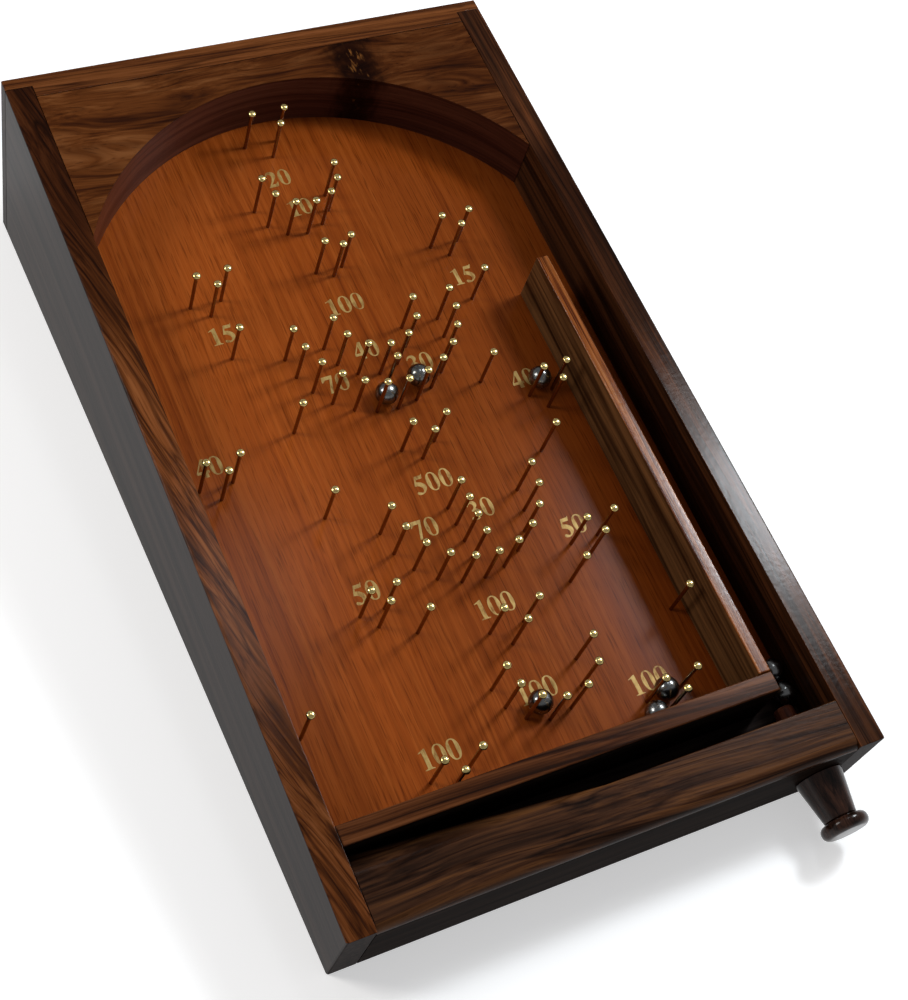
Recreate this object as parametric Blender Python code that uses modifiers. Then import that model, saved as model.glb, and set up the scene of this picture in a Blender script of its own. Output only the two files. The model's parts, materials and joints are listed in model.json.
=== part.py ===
"""A bagatelle board: a sloping wooden case with a pinned playfield, a spring plunger and steel balls.

Units are metres and +Z is up. The front end, with the plunger, faces -Y, and +X is the player's right.
Pieces are drawn on the sloping deck, which carries them all: there x runs across from the centre line,
y runs up the board from the front top edge, and z stands square to the deck, with 0 at the rail tops.
"""

import math

import bmesh
import bpy
import numpy as np

# Case
BOARD_WIDTH = 0.254
BOARD_LENGTH = 0.4344  # along the sloping tops of the rails
FRONT_HEIGHT = 0.0442
SLOPE_DEGREES = 7.0
RAIL_THICKNESS = 0.013  # side rails and back rail
FRONT_RAIL_THICKNESS = 0.022
FRONT_EDGE_RADIUS = 0.005
EDGE_EASE = 0.0004  # arris taken off every wooden edge
FIT_GAP = 0.0003  # left between pieces that touch

# Playfield panel, let into grooves in the four rails
PLAY_DEPTH = 0.031  # from the rail tops down to the playfield
PANEL_THICKNESS = 0.006
GROOVE_DEPTH = 0.005

# Walls that stand on the playfield
ARCH_OVERREACH = 0.0151  # how far the arch's radius passes half the inside width
ARCH_CROWN = 0.0168  # wood between the top of the arch and the back rail
LANE_WIDTH = 0.0215
LANE_DIVIDER_THICKNESS = 0.006
LANE_MOUTH = 0.064  # open length between the lane divider's end and the foot of the arch
BOTTOM_DIVIDER_THICKNESS = 0.009
TROUGH_WIDTH = 0.013
SHOULDER_LENGTH = 0.112  # the front rail's rounded shoulder tapers along the trough over this length
SHOULDER_END_RADIUS = 0.0006

# Pins
PIN_HEIGHT = 0.0275  # from the playfield to the top of the head
PIN_STEM_DIAMETER = 0.0015
PIN_HEAD_DIAMETER = 0.0036
PIN_HEAD_HEIGHT = 0.0017
PIN_SET_DEPTH = 0.003  # how far a pin is driven into the panel
PIN_ROW_PITCH = 0.0088
POCKET_PLAY = 0.0017  # room left round a ball between the row pin and the wide arc
LAYOUT_TURN_DEGREES = 1.5  # the pin pattern sits a little turned on the panel

# Balls
BALL_DIAMETER = 0.0111

# Plunger
BARREL_LENGTH = 0.0205
BARREL_BASE_DIAMETER = 0.022
BARREL_END_DIAMETER = 0.015
BARREL_END_WALL = 0.003
SPIGOT_DIAMETER = 0.014
SPIGOT_LENGTH = 0.008  # depth of the seat in the front rail
SPRING_BORE = 0.0105
ROD_DIAMETER = 0.006
KNOB_DIAMETER = 0.022
KNOB_THICKNESS = 0.0063
KNOB_EDGE_RADIUS = 0.0028
KNOB_SOCKET_DEPTH = 0.004
STRIKER_DIAMETER = 0.0095
STRIKER_REACH = 0.011  # length that shows in the lane at rest
STRIKER_LENGTH = 0.027
STRIKER_SOCKET_DEPTH = 0.010
STRIKER_CHAMFER = 0.002
SPRING_WIRE = 0.0008
SPRING_COIL_DIAMETER = 0.0088  # to the middle of the wire
SPRING_TURNS = 9

# How finely round shapes are divided
ARCH_STEPS = 48
EDGE_STEPS = 8
TURNED_STEPS = 32
PIN_STEPS = 8
SPRING_STEPS = 9  # points in each turn
BALL_SUBDIVISIONS = 3

# Pin pattern: places are shares of half the inside width and of the field's length, sizes are ball diameters.
# A cup is two pins with one below them: across, along, half width, drop, sideways lean of the low pin.
PIN_CUPS = (
    (-0.015, 0.964, 0.775, 0.811, 0.270),
    (0.005, 0.739, 0.622, 0.360, 0.090),
    (-0.566, 0.734, 0.694, 0.631, 0.0),
    (0.554, 0.734, 0.667, 0.631, 0.0),
    (-0.846, 0.476, 0.721, 0.595, 0.0),
    (0.624, 0.474, 0.559, 0.748, 0.0),
    (0.005, 0.451, 0.766, 0.604, -0.045),
    (-0.482, 0.256, 0.541, 0.649, 0.0),
    (0.475, 0.258, 0.640, 0.757, -0.180),
    (-0.006, 0.182, 0.784, 0.721, -0.090),
    (-0.482, 0.036, 0.802, 0.613, -0.225),
    (0.453, 0.034, 0.739, 0.685, -0.117),
)
# An arc is a half ring open at the top: across, along, radius, pins, lean of the low pins in degrees.
WIDE_ARC = (0.0, 0.623, 3.649, 13, 0.5)
PIN_ARCS = (
    (-0.017, 0.857, 1.730, 7, 4.0),
    WIDE_ARC,
    (0.004, 0.624, 1.865, 7, -1.0),
    (0.0, 0.351, 3.198, 11, 1.5),
    (0.009, 0.115, 1.937, 7, -8.0),
)
# Single pins: across, along.
SINGLE_PINS = (
    (-0.561, 0.645),
    (0.549, 0.639),
    (-0.456, 0.518),
    (0.396, 0.514),
    (-0.492, 0.393),
    (0.494, 0.393),
    (-0.350, 0.213),
    (0.331, 0.211),
    (-0.945, 0.138),
    (0.671, 0.133),
)
# A straight row down the centre line: along, number of pins.
CENTRE_ROW = (0.356, 4)
# Where the field balls came to rest: across, along.
FIELD_BALLS = (
    (-0.031, 0.526),
    (0.139, 0.538),
    (0.632, 0.487),
    (-0.063, 0.067),
    (0.465, 0.036),
    (0.377, 0.013),
)
LANE_BALLS = 2
SETTLING_ROUNDS = 300

# Places worked out from the sizes above
SLOPE = math.radians(SLOPE_DEGREES)
LAYOUT_TURN = math.radians(LAYOUT_TURN_DEGREES)
HALF_INSIDE = BOARD_WIDTH / 2 - RAIL_THICKNESS
BACK_RAIL_FRONT = BOARD_LENGTH - RAIL_THICKNESS / math.cos(SLOPE)
FLOOR = -PLAY_DEPTH
WALL_FOOT = FLOOR + FIT_GAP
BALL_RADIUS = BALL_DIAMETER / 2
BALL_HEIGHT = WALL_FOOT + BALL_RADIUS
TROUGH_BACK = FRONT_RAIL_THICKNESS + TROUGH_WIDTH
FIELD_LOW = TROUGH_BACK + BOTTOM_DIVIDER_THICKNESS
FIELD_HIGH = BACK_RAIL_FRONT - ARCH_CROWN
LANE_LEFT = HALF_INSIDE - LANE_WIDTH
LANE_CENTRE = HALF_INSIDE - LANE_WIDTH / 2
ARCH_RADIUS = HALF_INSIDE + ARCH_OVERREACH
ARCH_CENTRE = FIELD_HIGH - ARCH_RADIUS
ARCH_FOOT = ARCH_CENTRE + math.sqrt(ARCH_RADIUS**2 - HALF_INSIDE**2)
STRIKER_TIP = FRONT_RAIL_THICKNESS + STRIKER_REACH
STRIKER_SHOULDER = STRIKER_TIP - STRIKER_LENGTH
BARREL_END = -BARREL_LENGTH
KNOB_TOP = BARREL_END - FIT_GAP
SPRING_SEAT = BARREL_END + BARREL_END_WALL
ROD_HOLE_RADIUS = ROD_DIAMETER / 2 + FIT_GAP

# Anything that has to pass right through a piece is this much longer than it
OVERRUN = 0.01
# Points closer than this are one point, and faces flatter than this are one face
WELD = 1e-6
FLAT = math.radians(0.5)
SHARP = math.radians(30)


def clear_scene():
    for old in list(bpy.data.objects):
        bpy.data.objects.remove(old, do_unlink=True)


def new_collection(name):
    made = bpy.data.collections.new(name)
    bpy.context.scene.collection.children.link(made)
    return made


def finish(name, colour, roughness, metallic=0.0):
    """A plain material with the piece's own colour."""
    made = bpy.data.materials.new(name)
    made.use_nodes = True
    shader = made.node_tree.nodes["Principled BSDF"]
    shader.inputs["Base Color"].default_value = (*colour, 1.0)
    shader.inputs["Roughness"].default_value = roughness
    shader.inputs["Metallic"].default_value = metallic
    return made


def rosewood(name, colour):
    return finish(name, colour, roughness=0.35)


def place(name, data, collection, parent, material=None):
    """An object of this data, carried by the parent."""
    made = bpy.data.objects.new(name, data)
    collection.objects.link(made)
    made.parent = parent
    if material:
        data.materials.append(material)
    return made


def guide(made):
    """Marks a shape that only cuts or joins another one."""
    made.hide_render = True
    made.display_type = "WIRE"
    return made


def shade_round(mesh):
    """Smooth shading over the curves, with the real edges left crisp."""
    mesh.shade_smooth()
    mesh.set_sharp_from_angle(angle=SHARP)


def plate_mesh(name, outline, thickness):
    """A flat outline, in the local XY plane, given a thickness that is centred on it."""
    curve = bpy.data.curves.new(name, "CURVE")
    curve.dimensions = "2D"
    curve.fill_mode = "BOTH"
    curve.extrude = thickness / 2
    spline = curve.splines.new("POLY")
    spline.points.add(len(outline) - 1)
    for point, (x, y) in zip(spline.points, outline):
        point.co = (x, y, 0.0, 1.0)
    spline.use_cyclic_u = True
    drawn = bpy.data.objects.new(name, curve)
    bpy.context.scene.collection.objects.link(drawn)
    graph = bpy.context.evaluated_depsgraph_get()
    mesh = bpy.data.meshes.new_from_object(drawn.evaluated_get(graph))
    bpy.data.objects.remove(drawn, do_unlink=True)
    bpy.data.curves.remove(curve)
    shape = bmesh.new()
    shape.from_mesh(mesh)
    bmesh.ops.remove_doubles(shape, verts=shape.verts, dist=WELD)
    bmesh.ops.dissolve_limit(shape, angle_limit=FLAT, verts=shape.verts, edges=shape.edges)
    bmesh.ops.recalc_face_normals(shape, faces=shape.faces)
    shape.to_mesh(mesh)
    shape.free()
    shade_round(mesh)
    return mesh


def box_mesh(name, low, high):
    """A box between two corners, with its place in its mesh."""
    low, high = np.array(low), np.array(high)
    shape = bmesh.new()
    bmesh.ops.create_cube(shape, size=1.0)
    bmesh.ops.scale(shape, vec=high - low, verts=shape.verts)
    bmesh.ops.translate(shape, vec=(low + high) / 2, verts=shape.verts)
    mesh = bpy.data.meshes.new(name)
    shape.to_mesh(mesh)
    shape.free()
    return mesh


def profile_mesh(name, profile, closed):
    """A line of (radius, height) points in the XZ plane, for turning about Z."""
    shape = bmesh.new()
    points = [shape.verts.new((radius, 0.0, height)) for radius, height in profile]
    for first, second in zip(points, points[1:]):
        shape.edges.new((first, second))
    if closed:
        shape.edges.new((points[-1], points[0]))
    mesh = bpy.data.meshes.new(name)
    shape.to_mesh(mesh)
    shape.free()
    return mesh


def turn(made, steps):
    """Turns an object's profile about its own Z axis."""
    screw = made.modifiers.new("turned", "SCREW")
    screw.axis = "Z"
    screw.angle = math.tau
    screw.steps = steps
    screw.render_steps = steps
    screw.use_merge_vertices = True
    screw.merge_threshold = WELD
    screw.use_smooth_shade = True
    return made


def ease_edges(made):
    bevel = made.modifiers.new("eased edges", "BEVEL")
    bevel.width = EDGE_EASE
    bevel.segments = 2
    bevel.limit_method = "ANGLE"
    bevel.angle_limit = SHARP
    return made


def combine(made, other, operation):
    boolean = made.modifiers.new(f"{operation.lower()} {other.name}", "BOOLEAN")
    boolean.operation = operation
    boolean.solver = "EXACT"
    boolean.object = other
    return made


def table(y):
    """The table's deck z below this deck y."""
    return -FRONT_HEIGHT - y * math.tan(SLOPE)


def upright_foot(top):
    """Where an upright face that meets the deck at this y reaches the table, as deck y and z."""
    y = (top - FRONT_HEIGHT * math.tan(SLOPE)) * math.cos(SLOPE) ** 2
    return y, table(y)


def arc_points(centre, radius, start, end, steps):
    """Points along an arc, from one angle to another."""
    angles = np.linspace(start, end, steps + 1)
    return [(centre[0] + radius * math.cos(a), centre[1] + radius * math.sin(a)) for a in angles]


def stand_on_edge(made, x):
    """Turns a plate so that its outline lies along y and z, centred at this x."""
    made.rotation_euler = (math.pi / 2, 0.0, math.pi / 2)
    made.location = (x, 0.0, 0.0)
    return made


def side_rail(name, side, parts, deck, material):
    """One wedge-shaped side: it runs to the front end and stops at the back rail."""
    back = BACK_RAIL_FRONT - FIT_GAP
    outline = [(0.0, 0.0), (0.0, -FRONT_HEIGHT), upright_foot(back), (back, 0.0)]
    mesh = plate_mesh(name, outline, RAIL_THICKNESS)
    made = place(name, mesh, parts, deck, material)
    stand_on_edge(made, side * (BOARD_WIDTH - RAIL_THICKNESS) / 2)
    return ease_edges(made)


def back_rail(parts, deck, material):
    """An upright board across the full width, its top planed to the slope."""
    outline = [
        (BACK_RAIL_FRONT, 0.0),
        upright_foot(BACK_RAIL_FRONT),
        upright_foot(BOARD_LENGTH),
        (BOARD_LENGTH, 0.0),
    ]
    made = place("back_rail", plate_mesh("back_rail", outline, BOARD_WIDTH), parts, deck, material)
    stand_on_edge(made, 0.0)
    return ease_edges(made)


def front_rail_outline(shoulder):
    """The front rail's section, with a round shoulder of this radius that fills part of the trough."""
    edge = FRONT_EDGE_RADIUS
    back = FRONT_RAIL_THICKNESS
    inside_groove = FLOOR - PANEL_THICKNESS / 2
    return [
        (back, inside_groove),
        (back + shoulder, inside_groove),
        *arc_points((back, -shoulder), shoulder, 0.0, math.pi / 2, EDGE_STEPS),
        *arc_points((edge, -edge), edge, math.pi / 2, math.pi, EDGE_STEPS),
        (0.0, table(0.0) + EDGE_EASE),
        (EDGE_EASE, table(EDGE_EASE)),
        (back - EDGE_EASE, table(back - EDGE_EASE)),
        (back, table(back) + EDGE_EASE),
    ]


def loft_mesh(name, sections):
    """A closed body through outlines of (y, z) points, each one standing at its own x."""
    shape = bmesh.new()
    rings = [[shape.verts.new((x, y, z)) for y, z in outline] for x, outline in sections]
    for first, second in zip(rings, rings[1:]):
        for corner in range(len(first)):
            shape.faces.new((first[corner - 1], first[corner], second[corner], second[corner - 1]))
    shape.faces.new(rings[0])
    shape.faces.new(rings[-1])
    bmesh.ops.recalc_face_normals(shape, faces=shape.faces)
    mesh = bpy.data.meshes.new(name)
    shape.to_mesh(mesh)
    shape.free()
    shade_round(mesh)
    return mesh


def front_rail(parts, deck, material):
    """The thick front board: its top front edge is rounded, and a shoulder leads the balls to the lane."""
    half = HALF_INSIDE - FIT_GAP
    plain = front_rail_outline(SHOULDER_END_RADIUS)
    sections = [
        (-half, front_rail_outline(TROUGH_WIDTH - FIT_GAP)),
        (SHOULDER_LENGTH - half, plain),
        (half, plain),
    ]
    return place("front_rail", loft_mesh("front_rail", sections), parts, deck, material)


def panel_corners(clearance):
    """The playfield panel's corners in its grooves, grown by a clearance on every side."""
    half = HALF_INSIDE + GROOVE_DEPTH - FIT_GAP + clearance
    front = FRONT_RAIL_THICKNESS - GROOVE_DEPTH + FIT_GAP - clearance
    back_face = BACK_RAIL_FRONT + FLOOR * math.tan(SLOPE)
    back = back_face + GROOVE_DEPTH - FIT_GAP + clearance
    low = (-half, front, FLOOR - PANEL_THICKNESS - clearance)
    high = (half, back, FLOOR + clearance)
    return low, high


def arch_block(parts, deck, material):
    """The solid block behind the field, its front cut to an arch and its back planed upright."""
    half = HALF_INSIDE - FIT_GAP
    back = BACK_RAIL_FRONT - FIT_GAP
    foot_angle = math.acos(half / ARCH_RADIUS)
    arch = arc_points((0.0, ARCH_CENTRE), ARCH_RADIUS, foot_angle, math.pi - foot_angle, ARCH_STEPS)
    outline = [*arch, (-half, back), (half, back)]
    mesh = plate_mesh("arch_block", outline, -WALL_FOOT)
    shape = bmesh.new()
    shape.from_mesh(mesh)
    bmesh.ops.translate(shape, vec=(0.0, 0.0, WALL_FOOT / 2), verts=shape.verts)
    for corner in shape.verts:
        if corner.co.y > back - WELD:
            corner.co.y += corner.co.z * math.tan(SLOPE)
    shape.to_mesh(mesh)
    shape.free()
    return ease_edges(place("arch_block", mesh, parts, deck, material))


def lane_divider(parts, deck, material):
    low = (LANE_LEFT - LANE_DIVIDER_THICKNESS, FIELD_LOW + FIT_GAP, WALL_FOOT)
    high = (LANE_LEFT, ARCH_FOOT - LANE_MOUTH, 0.0)
    return ease_edges(place("lane_divider", box_mesh("lane_divider", low, high), parts, deck, material))


def bottom_divider(parts, deck, material):
    low = (FIT_GAP - HALF_INSIDE, TROUGH_BACK, WALL_FOOT)
    high = (LANE_LEFT, FIELD_LOW, 0.0)
    made = place("bottom_divider", box_mesh("bottom_divider", low, high), parts, deck, material)
    return ease_edges(made)


def field_point(across, along):
    """A place on the pin pattern, before it is turned, from shares of the field."""
    return across * HALF_INSIDE, FIELD_LOW + along * (FIELD_HIGH - FIELD_LOW)


def turned_on_field(x, y):
    """Where a point of the pin pattern lies once the pattern is turned on the panel."""
    middle = (FIELD_LOW + FIELD_HIGH) / 2
    cos, sin = math.cos(LAYOUT_TURN), math.sin(LAYOUT_TURN)
    return x * cos - (y - middle) * sin, middle + x * sin + (y - middle) * cos


def cup_pins(across, along, half_width, drop, lean):
    x, y = field_point(across, along)
    half_width, drop, lean = (share * BALL_DIAMETER for share in (half_width, drop, lean))
    return [(x - half_width, y), (x + lean, y - drop), (x + half_width, y)]


def arc_pins(across, along, radius, count, lean):
    """A half ring of pins; lean crowds its low pins towards one side."""
    x, y = field_point(across, along)
    reach = radius * BALL_DIAMETER
    pins = []
    for angle in np.linspace(0.0, math.pi, count):
        leaning = angle + math.radians(lean) * math.sin(angle)
        pins.append((x - reach * math.cos(leaning), y - reach * math.sin(leaning)))
    return pins


def row_pins(along, count):
    x, y = field_point(0.0, along)
    return [(x, y - step * PIN_ROW_PITCH) for step in range(count)]


def pocket_pin():
    """The pin over the wide arc's lowest one, with room for a ball beside it."""
    x, y = field_point(*WIDE_ARC[:2])
    return x, y - WIDE_ARC[2] * BALL_DIAMETER + BALL_DIAMETER + POCKET_PLAY


def pin_places():
    """Every pin's place on the deck."""
    pattern = [pocket_pin()]
    for cup in PIN_CUPS:
        pattern += cup_pins(*cup)
    for arc in PIN_ARCS:
        pattern += arc_pins(*arc)
    pattern += row_pins(*CENTRE_ROW)
    pattern += [field_point(*single) for single in SINGLE_PINS]
    return [turned_on_field(*pin) for pin in pattern]


def pin_profile():
    """A round pin with a domed head, from its tip in the panel up to its crown."""
    stem = PIN_STEM_DIAMETER / 2
    head = PIN_HEAD_DIAMETER / 2
    collar = PIN_HEIGHT - PIN_HEAD_HEIGHT
    dome = [(head * math.cos(a), collar + PIN_HEAD_HEIGHT * math.sin(a)) for a in (0.0, math.pi / 4)]
    crown = (0.0, PIN_HEIGHT)
    return [crown, *reversed(dome), (stem, collar), (stem, -PIN_SET_DEPTH), (0.0, -PIN_SET_DEPTH)]


def pins(places, guides, deck):
    """All the pins as one shape, for joining to the panel."""
    pattern = turn(bpy.data.objects.new("one_pin", profile_mesh("one_pin", pin_profile(), False)), PIN_STEPS)
    bpy.context.scene.collection.objects.link(pattern)
    graph = bpy.context.evaluated_depsgraph_get()
    one = bpy.data.meshes.new_from_object(pattern.evaluated_get(graph))
    bpy.data.objects.remove(pattern, do_unlink=True)
    shape = bmesh.new()
    for x, y in places:
        before = len(shape.verts)
        shape.from_mesh(one)
        shape.verts.ensure_lookup_table()
        bmesh.ops.translate(shape, vec=(x, y, FLOOR), verts=shape.verts[before:])
    mesh = bpy.data.meshes.new("pins")
    shape.to_mesh(mesh)
    shape.free()
    return guide(place("pins", mesh, guides, deck))


def playfield(places, parts, guides, deck, material):
    made = place("playfield", box_mesh("playfield", *panel_corners(0.0)), parts, deck, material)
    return combine(made, pins(places, guides, deck), "UNION")


def cut_panel_grooves(rails, guides, deck):
    """One groove, the panel's own shape plus its clearance, runs round the four rails."""
    cutter = guide(place("panel_groove", box_mesh("panel_groove", *panel_corners(FIT_GAP)), guides, deck))
    for rail in rails:
        combine(rail, cutter, "DIFFERENCE")


def plunger_axis(parts, deck):
    """An empty on the plunger's line, its local Z pointing up the lane and 0 at the front face."""
    axis = bpy.data.objects.new("plunger_axis", None)
    parts.objects.link(axis)
    axis.parent = deck
    axis.location = (LANE_CENTRE, 0.0, BALL_HEIGHT)
    axis.rotation_euler = (-math.pi / 2, 0.0, 0.0)
    return axis


def turned_piece(name, profile, parts, axis, material, closed=False):
    mesh = profile_mesh(name, profile, closed)
    return turn(place(name, mesh, parts, axis, material), TURNED_STEPS)


def bore_front_rail(rail, guides, axis):
    """The striker's way through the rail, widened at the front to seat the barrel's spigot."""
    seat = SPIGOT_DIAMETER / 2 + FIT_GAP
    bore = SPRING_BORE / 2
    far = FRONT_RAIL_THICKNESS + OVERRUN
    near = -OVERRUN
    profile = [(0.0, far), (bore, far), (bore, SPIGOT_LENGTH), (seat, SPIGOT_LENGTH), (seat, near), (0.0, near)]
    cutter = place("plunger_bore", profile_mesh("plunger_bore", profile, False), guides, axis)
    combine(rail, guide(turn(cutter, TURNED_STEPS)), "DIFFERENCE")


def plunger_barrel(parts, axis, material):
    """A tapered boss: a spigot in the rail, a bore for the spring and an end wall that guides the rod."""
    bore = SPRING_BORE / 2
    inner = SPIGOT_LENGTH - FIT_GAP
    profile = [
        (bore, inner),
        (SPIGOT_DIAMETER / 2, inner),
        (SPIGOT_DIAMETER / 2, -FIT_GAP),
        (BARREL_BASE_DIAMETER / 2, -FIT_GAP),
        (BARREL_END_DIAMETER / 2, BARREL_END),
        (ROD_HOLE_RADIUS, BARREL_END),
        (ROD_HOLE_RADIUS, SPRING_SEAT),
        (bore, SPRING_SEAT),
    ]
    return turned_piece("plunger_barrel", profile, parts, axis, material, closed=True)


def plunger_knob(parts, axis, material):
    """A disc with a round edge and a socket for the rod."""
    radius = KNOB_DIAMETER / 2
    edge = min(KNOB_EDGE_RADIUS, KNOB_THICKNESS / 2)
    bottom = KNOB_TOP - KNOB_THICKNESS
    socket = KNOB_TOP - KNOB_SOCKET_DEPTH
    upper = arc_points((radius - edge, KNOB_TOP - edge), edge, math.pi / 2, 0.0, EDGE_STEPS // 2)
    lower = arc_points((radius - edge, bottom + edge), edge, 0.0, -math.pi / 2, EDGE_STEPS // 2)
    hole = [(0.0, socket), (ROD_HOLE_RADIUS, socket), (ROD_HOLE_RADIUS, KNOB_TOP)]
    return turned_piece("plunger_knob", [*hole, *upper, *lower, (0.0, bottom)], parts, axis, material)


def plunger_rod(parts, axis, material):
    """A dowel from the bottom of the knob's socket to the bottom of the striker's."""
    radius = ROD_DIAMETER / 2
    low = KNOB_TOP - KNOB_SOCKET_DEPTH + FIT_GAP
    high = STRIKER_SHOULDER + STRIKER_SOCKET_DEPTH - FIT_GAP
    profile = [(0.0, high), (radius, high), (radius, low), (0.0, low)]
    return turned_piece("plunger_rod", profile, parts, axis, material)


def plunger_striker(parts, axis, material):
    """The nose that hits the ball: chamfered at its tip, socketed for the rod at its shoulder."""
    radius = STRIKER_DIAMETER / 2
    socket = STRIKER_SHOULDER + STRIKER_SOCKET_DEPTH
    profile = [
        (0.0, STRIKER_TIP),
        (radius - STRIKER_CHAMFER, STRIKER_TIP),
        (radius, STRIKER_TIP - STRIKER_CHAMFER),
        (radius, STRIKER_SHOULDER),
        (ROD_HOLE_RADIUS, STRIKER_SHOULDER),
        (ROD_HOLE_RADIUS, socket),
        (0.0, socket),
    ]
    return turned_piece("plunger_striker", profile, parts, axis, material)


def spring_points():
    """The coil's middle line: a helix whose two ends run straight to their seats."""
    low = SPRING_SEAT + FIT_GAP
    high = STRIKER_SHOULDER - FIT_GAP
    radius = SPRING_COIL_DIAMETER / 2
    heights = np.linspace(low + SPRING_WIRE, high - SPRING_WIRE, SPRING_TURNS * SPRING_STEPS + 1)
    angles = np.linspace(0.0, math.tau * SPRING_TURNS, len(heights))
    helix = np.stack([radius * np.cos(angles), radius * np.sin(angles), heights], axis=1)
    first, last = helix[0].copy(), helix[-1].copy()
    first[2], last[2] = low, high
    return np.vstack([first, helix, last])


def least_coil_gap(points):
    """The least clear distance between stretches of the wire that lie over half a turn apart."""
    apart = np.linalg.norm(points[:, None] - points[None], axis=2)
    steps = np.abs(np.subtract.outer(np.arange(len(points)), np.arange(len(points))))
    return apart[steps > SPRING_STEPS // 2].min() - SPRING_WIRE


def plunger_spring(parts, axis, material):
    points = spring_points()
    curve = bpy.data.curves.new("plunger_spring", "CURVE")
    curve.dimensions = "3D"
    curve.bevel_depth = SPRING_WIRE / 2
    curve.bevel_resolution = 1
    curve.use_fill_caps = True
    spline = curve.splines.new("POLY")
    spline.points.add(len(points) - 1)
    for point, place_on_wire in zip(spline.points, points):
        point.co = (*place_on_wire, 1.0)
    print(f"plunger_spring: least gap to itself {1000 * least_coil_gap(points):.2f} mm")
    return place("plunger_spring", curve, parts, axis, material)


def settled(start, obstacles):
    """Moves a ball from where it lay until it clears every pin head, the other balls and the divider."""
    spot = np.array(start)
    for _ in range(SETTLING_ROUNDS):
        for centre, reach in obstacles:
            away = spot - centre
            distance = np.linalg.norm(away)
            if distance < reach:
                spot = centre + away * reach / distance
        spot[1] = max(spot[1], FIELD_LOW + FIT_GAP + BALL_RADIUS)
    return spot


def ball_places(pin_spots):
    """The field balls, settled among the pins, then the lane balls in a line before the striker."""
    past_pin = BALL_RADIUS + PIN_HEAD_DIAMETER / 2 + FIT_GAP
    past_ball = BALL_DIAMETER + FIT_GAP
    obstacles = [(np.array(pin), past_pin) for pin in pin_spots]
    spots = []
    for share in FIELD_BALLS:
        spot = settled(turned_on_field(*field_point(*share)), obstacles)
        obstacles.append((spot, past_ball))
        spots.append(spot)
    for number in range(LANE_BALLS):
        x = HALF_INSIDE - FIT_GAP - BALL_RADIUS
        y = STRIKER_TIP + FIT_GAP + BALL_RADIUS + number * past_ball
        spots.append(np.array((x, y)))
    return spots


def balls(spots, parts, deck, material):
    """Steel balls that share one mesh, each with its origin at its centre."""
    shape = bmesh.new()
    bmesh.ops.create_icosphere(shape, subdivisions=BALL_SUBDIVISIONS, radius=BALL_RADIUS)
    mesh = bpy.data.meshes.new("ball")
    shape.to_mesh(mesh)
    shape.free()
    mesh.shade_smooth()
    mesh.materials.append(material)
    for number, (x, y) in enumerate(spots, start=1):
        place(f"ball_{number}", mesh, parts, deck).location = (x, y, BALL_HEIGHT)


def stand_on_origin(parts, deck):
    """Slides the deck along Y until the object's box is centred over the origin."""
    bpy.context.view_layer.update()
    graph = bpy.context.evaluated_depsgraph_get()
    reach = []
    for made in parts.objects:
        if made.type == "EMPTY":
            continue
        evaluated = made.evaluated_get(graph)
        mesh = evaluated.to_mesh()
        points = np.empty(len(mesh.vertices) * 3, np.float32)
        mesh.vertices.foreach_get("co", points)
        evaluated.to_mesh_clear()
        world = np.array(evaluated.matrix_world)
        along = points.reshape(-1, 3) @ world[1, :3] + world[1, 3]
        reach += [along.min(), along.max()]
    deck.location.y -= (min(reach) + max(reach)) / 2
    bpy.context.view_layer.update()


def main():
    clear_scene()
    parts = new_collection("bagatelle_board")
    guides = new_collection("guides")
    deck = bpy.data.objects.new("deck", None)
    parts.objects.link(deck)
    deck.rotation_euler = (SLOPE, 0.0, 0.0)
    deck.location = (0.0, 0.0, FRONT_HEIGHT * math.cos(SLOPE))

    rails = [
        side_rail("left_rail", -1, parts, deck, rosewood("left_rail", (0.11, 0.055, 0.035))),
        side_rail("right_rail", 1, parts, deck, rosewood("right_rail", (0.12, 0.060, 0.038))),
        back_rail(parts, deck, rosewood("back_rail", (0.17, 0.085, 0.045))),
        front_rail(parts, deck, rosewood("front_rail", (0.13, 0.070, 0.040))),
    ]
    cut_panel_grooves(rails, guides, deck)
    arch_block(parts, deck, rosewood("arch_block", (0.19, 0.090, 0.045)))
    lane_divider(parts, deck, rosewood("lane_divider", (0.22, 0.110, 0.050)))
    bottom_divider(parts, deck, rosewood("bottom_divider", (0.15, 0.075, 0.045)))
    pin_spots = pin_places()
    playfield(pin_spots, parts, guides, deck, finish("playfield", (0.28, 0.075, 0.022), 0.25))

    axis = plunger_axis(parts, deck)
    bore_front_rail(rails[-1], guides, axis)
    plunger_barrel(parts, axis, rosewood("plunger_barrel", (0.055, 0.030, 0.022)))
    plunger_knob(parts, axis, rosewood("plunger_knob", (0.060, 0.030, 0.024)))
    plunger_rod(parts, axis, finish("plunger_rod", (0.35, 0.23, 0.13), 0.5))
    plunger_striker(parts, axis, finish("plunger_striker", (0.20, 0.075, 0.045), 0.45))
    plunger_spring(parts, axis, finish("plunger_spring", (0.55, 0.55, 0.56), 0.3, metallic=1.0))
    balls(ball_places(pin_spots), parts, deck, finish("steel_balls", (0.50, 0.51, 0.52), 0.12, metallic=1.0))
    stand_on_origin(parts, deck)


main()
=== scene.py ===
# %% [markdown]
# # Finishing a bagatelle board
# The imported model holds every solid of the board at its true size. This lesson dresses it: rounded
# wooden pieces with grain and lacquer, brass pins, painted scores, steel balls, and a plain studio.
# Each piece is drawn on the sloping deck of the board, so the first step is to find that deck.

# %% Load the frame
import json
import math

import bmesh
import bpy
import numpy as np
from mathutils import Matrix, Vector

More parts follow.
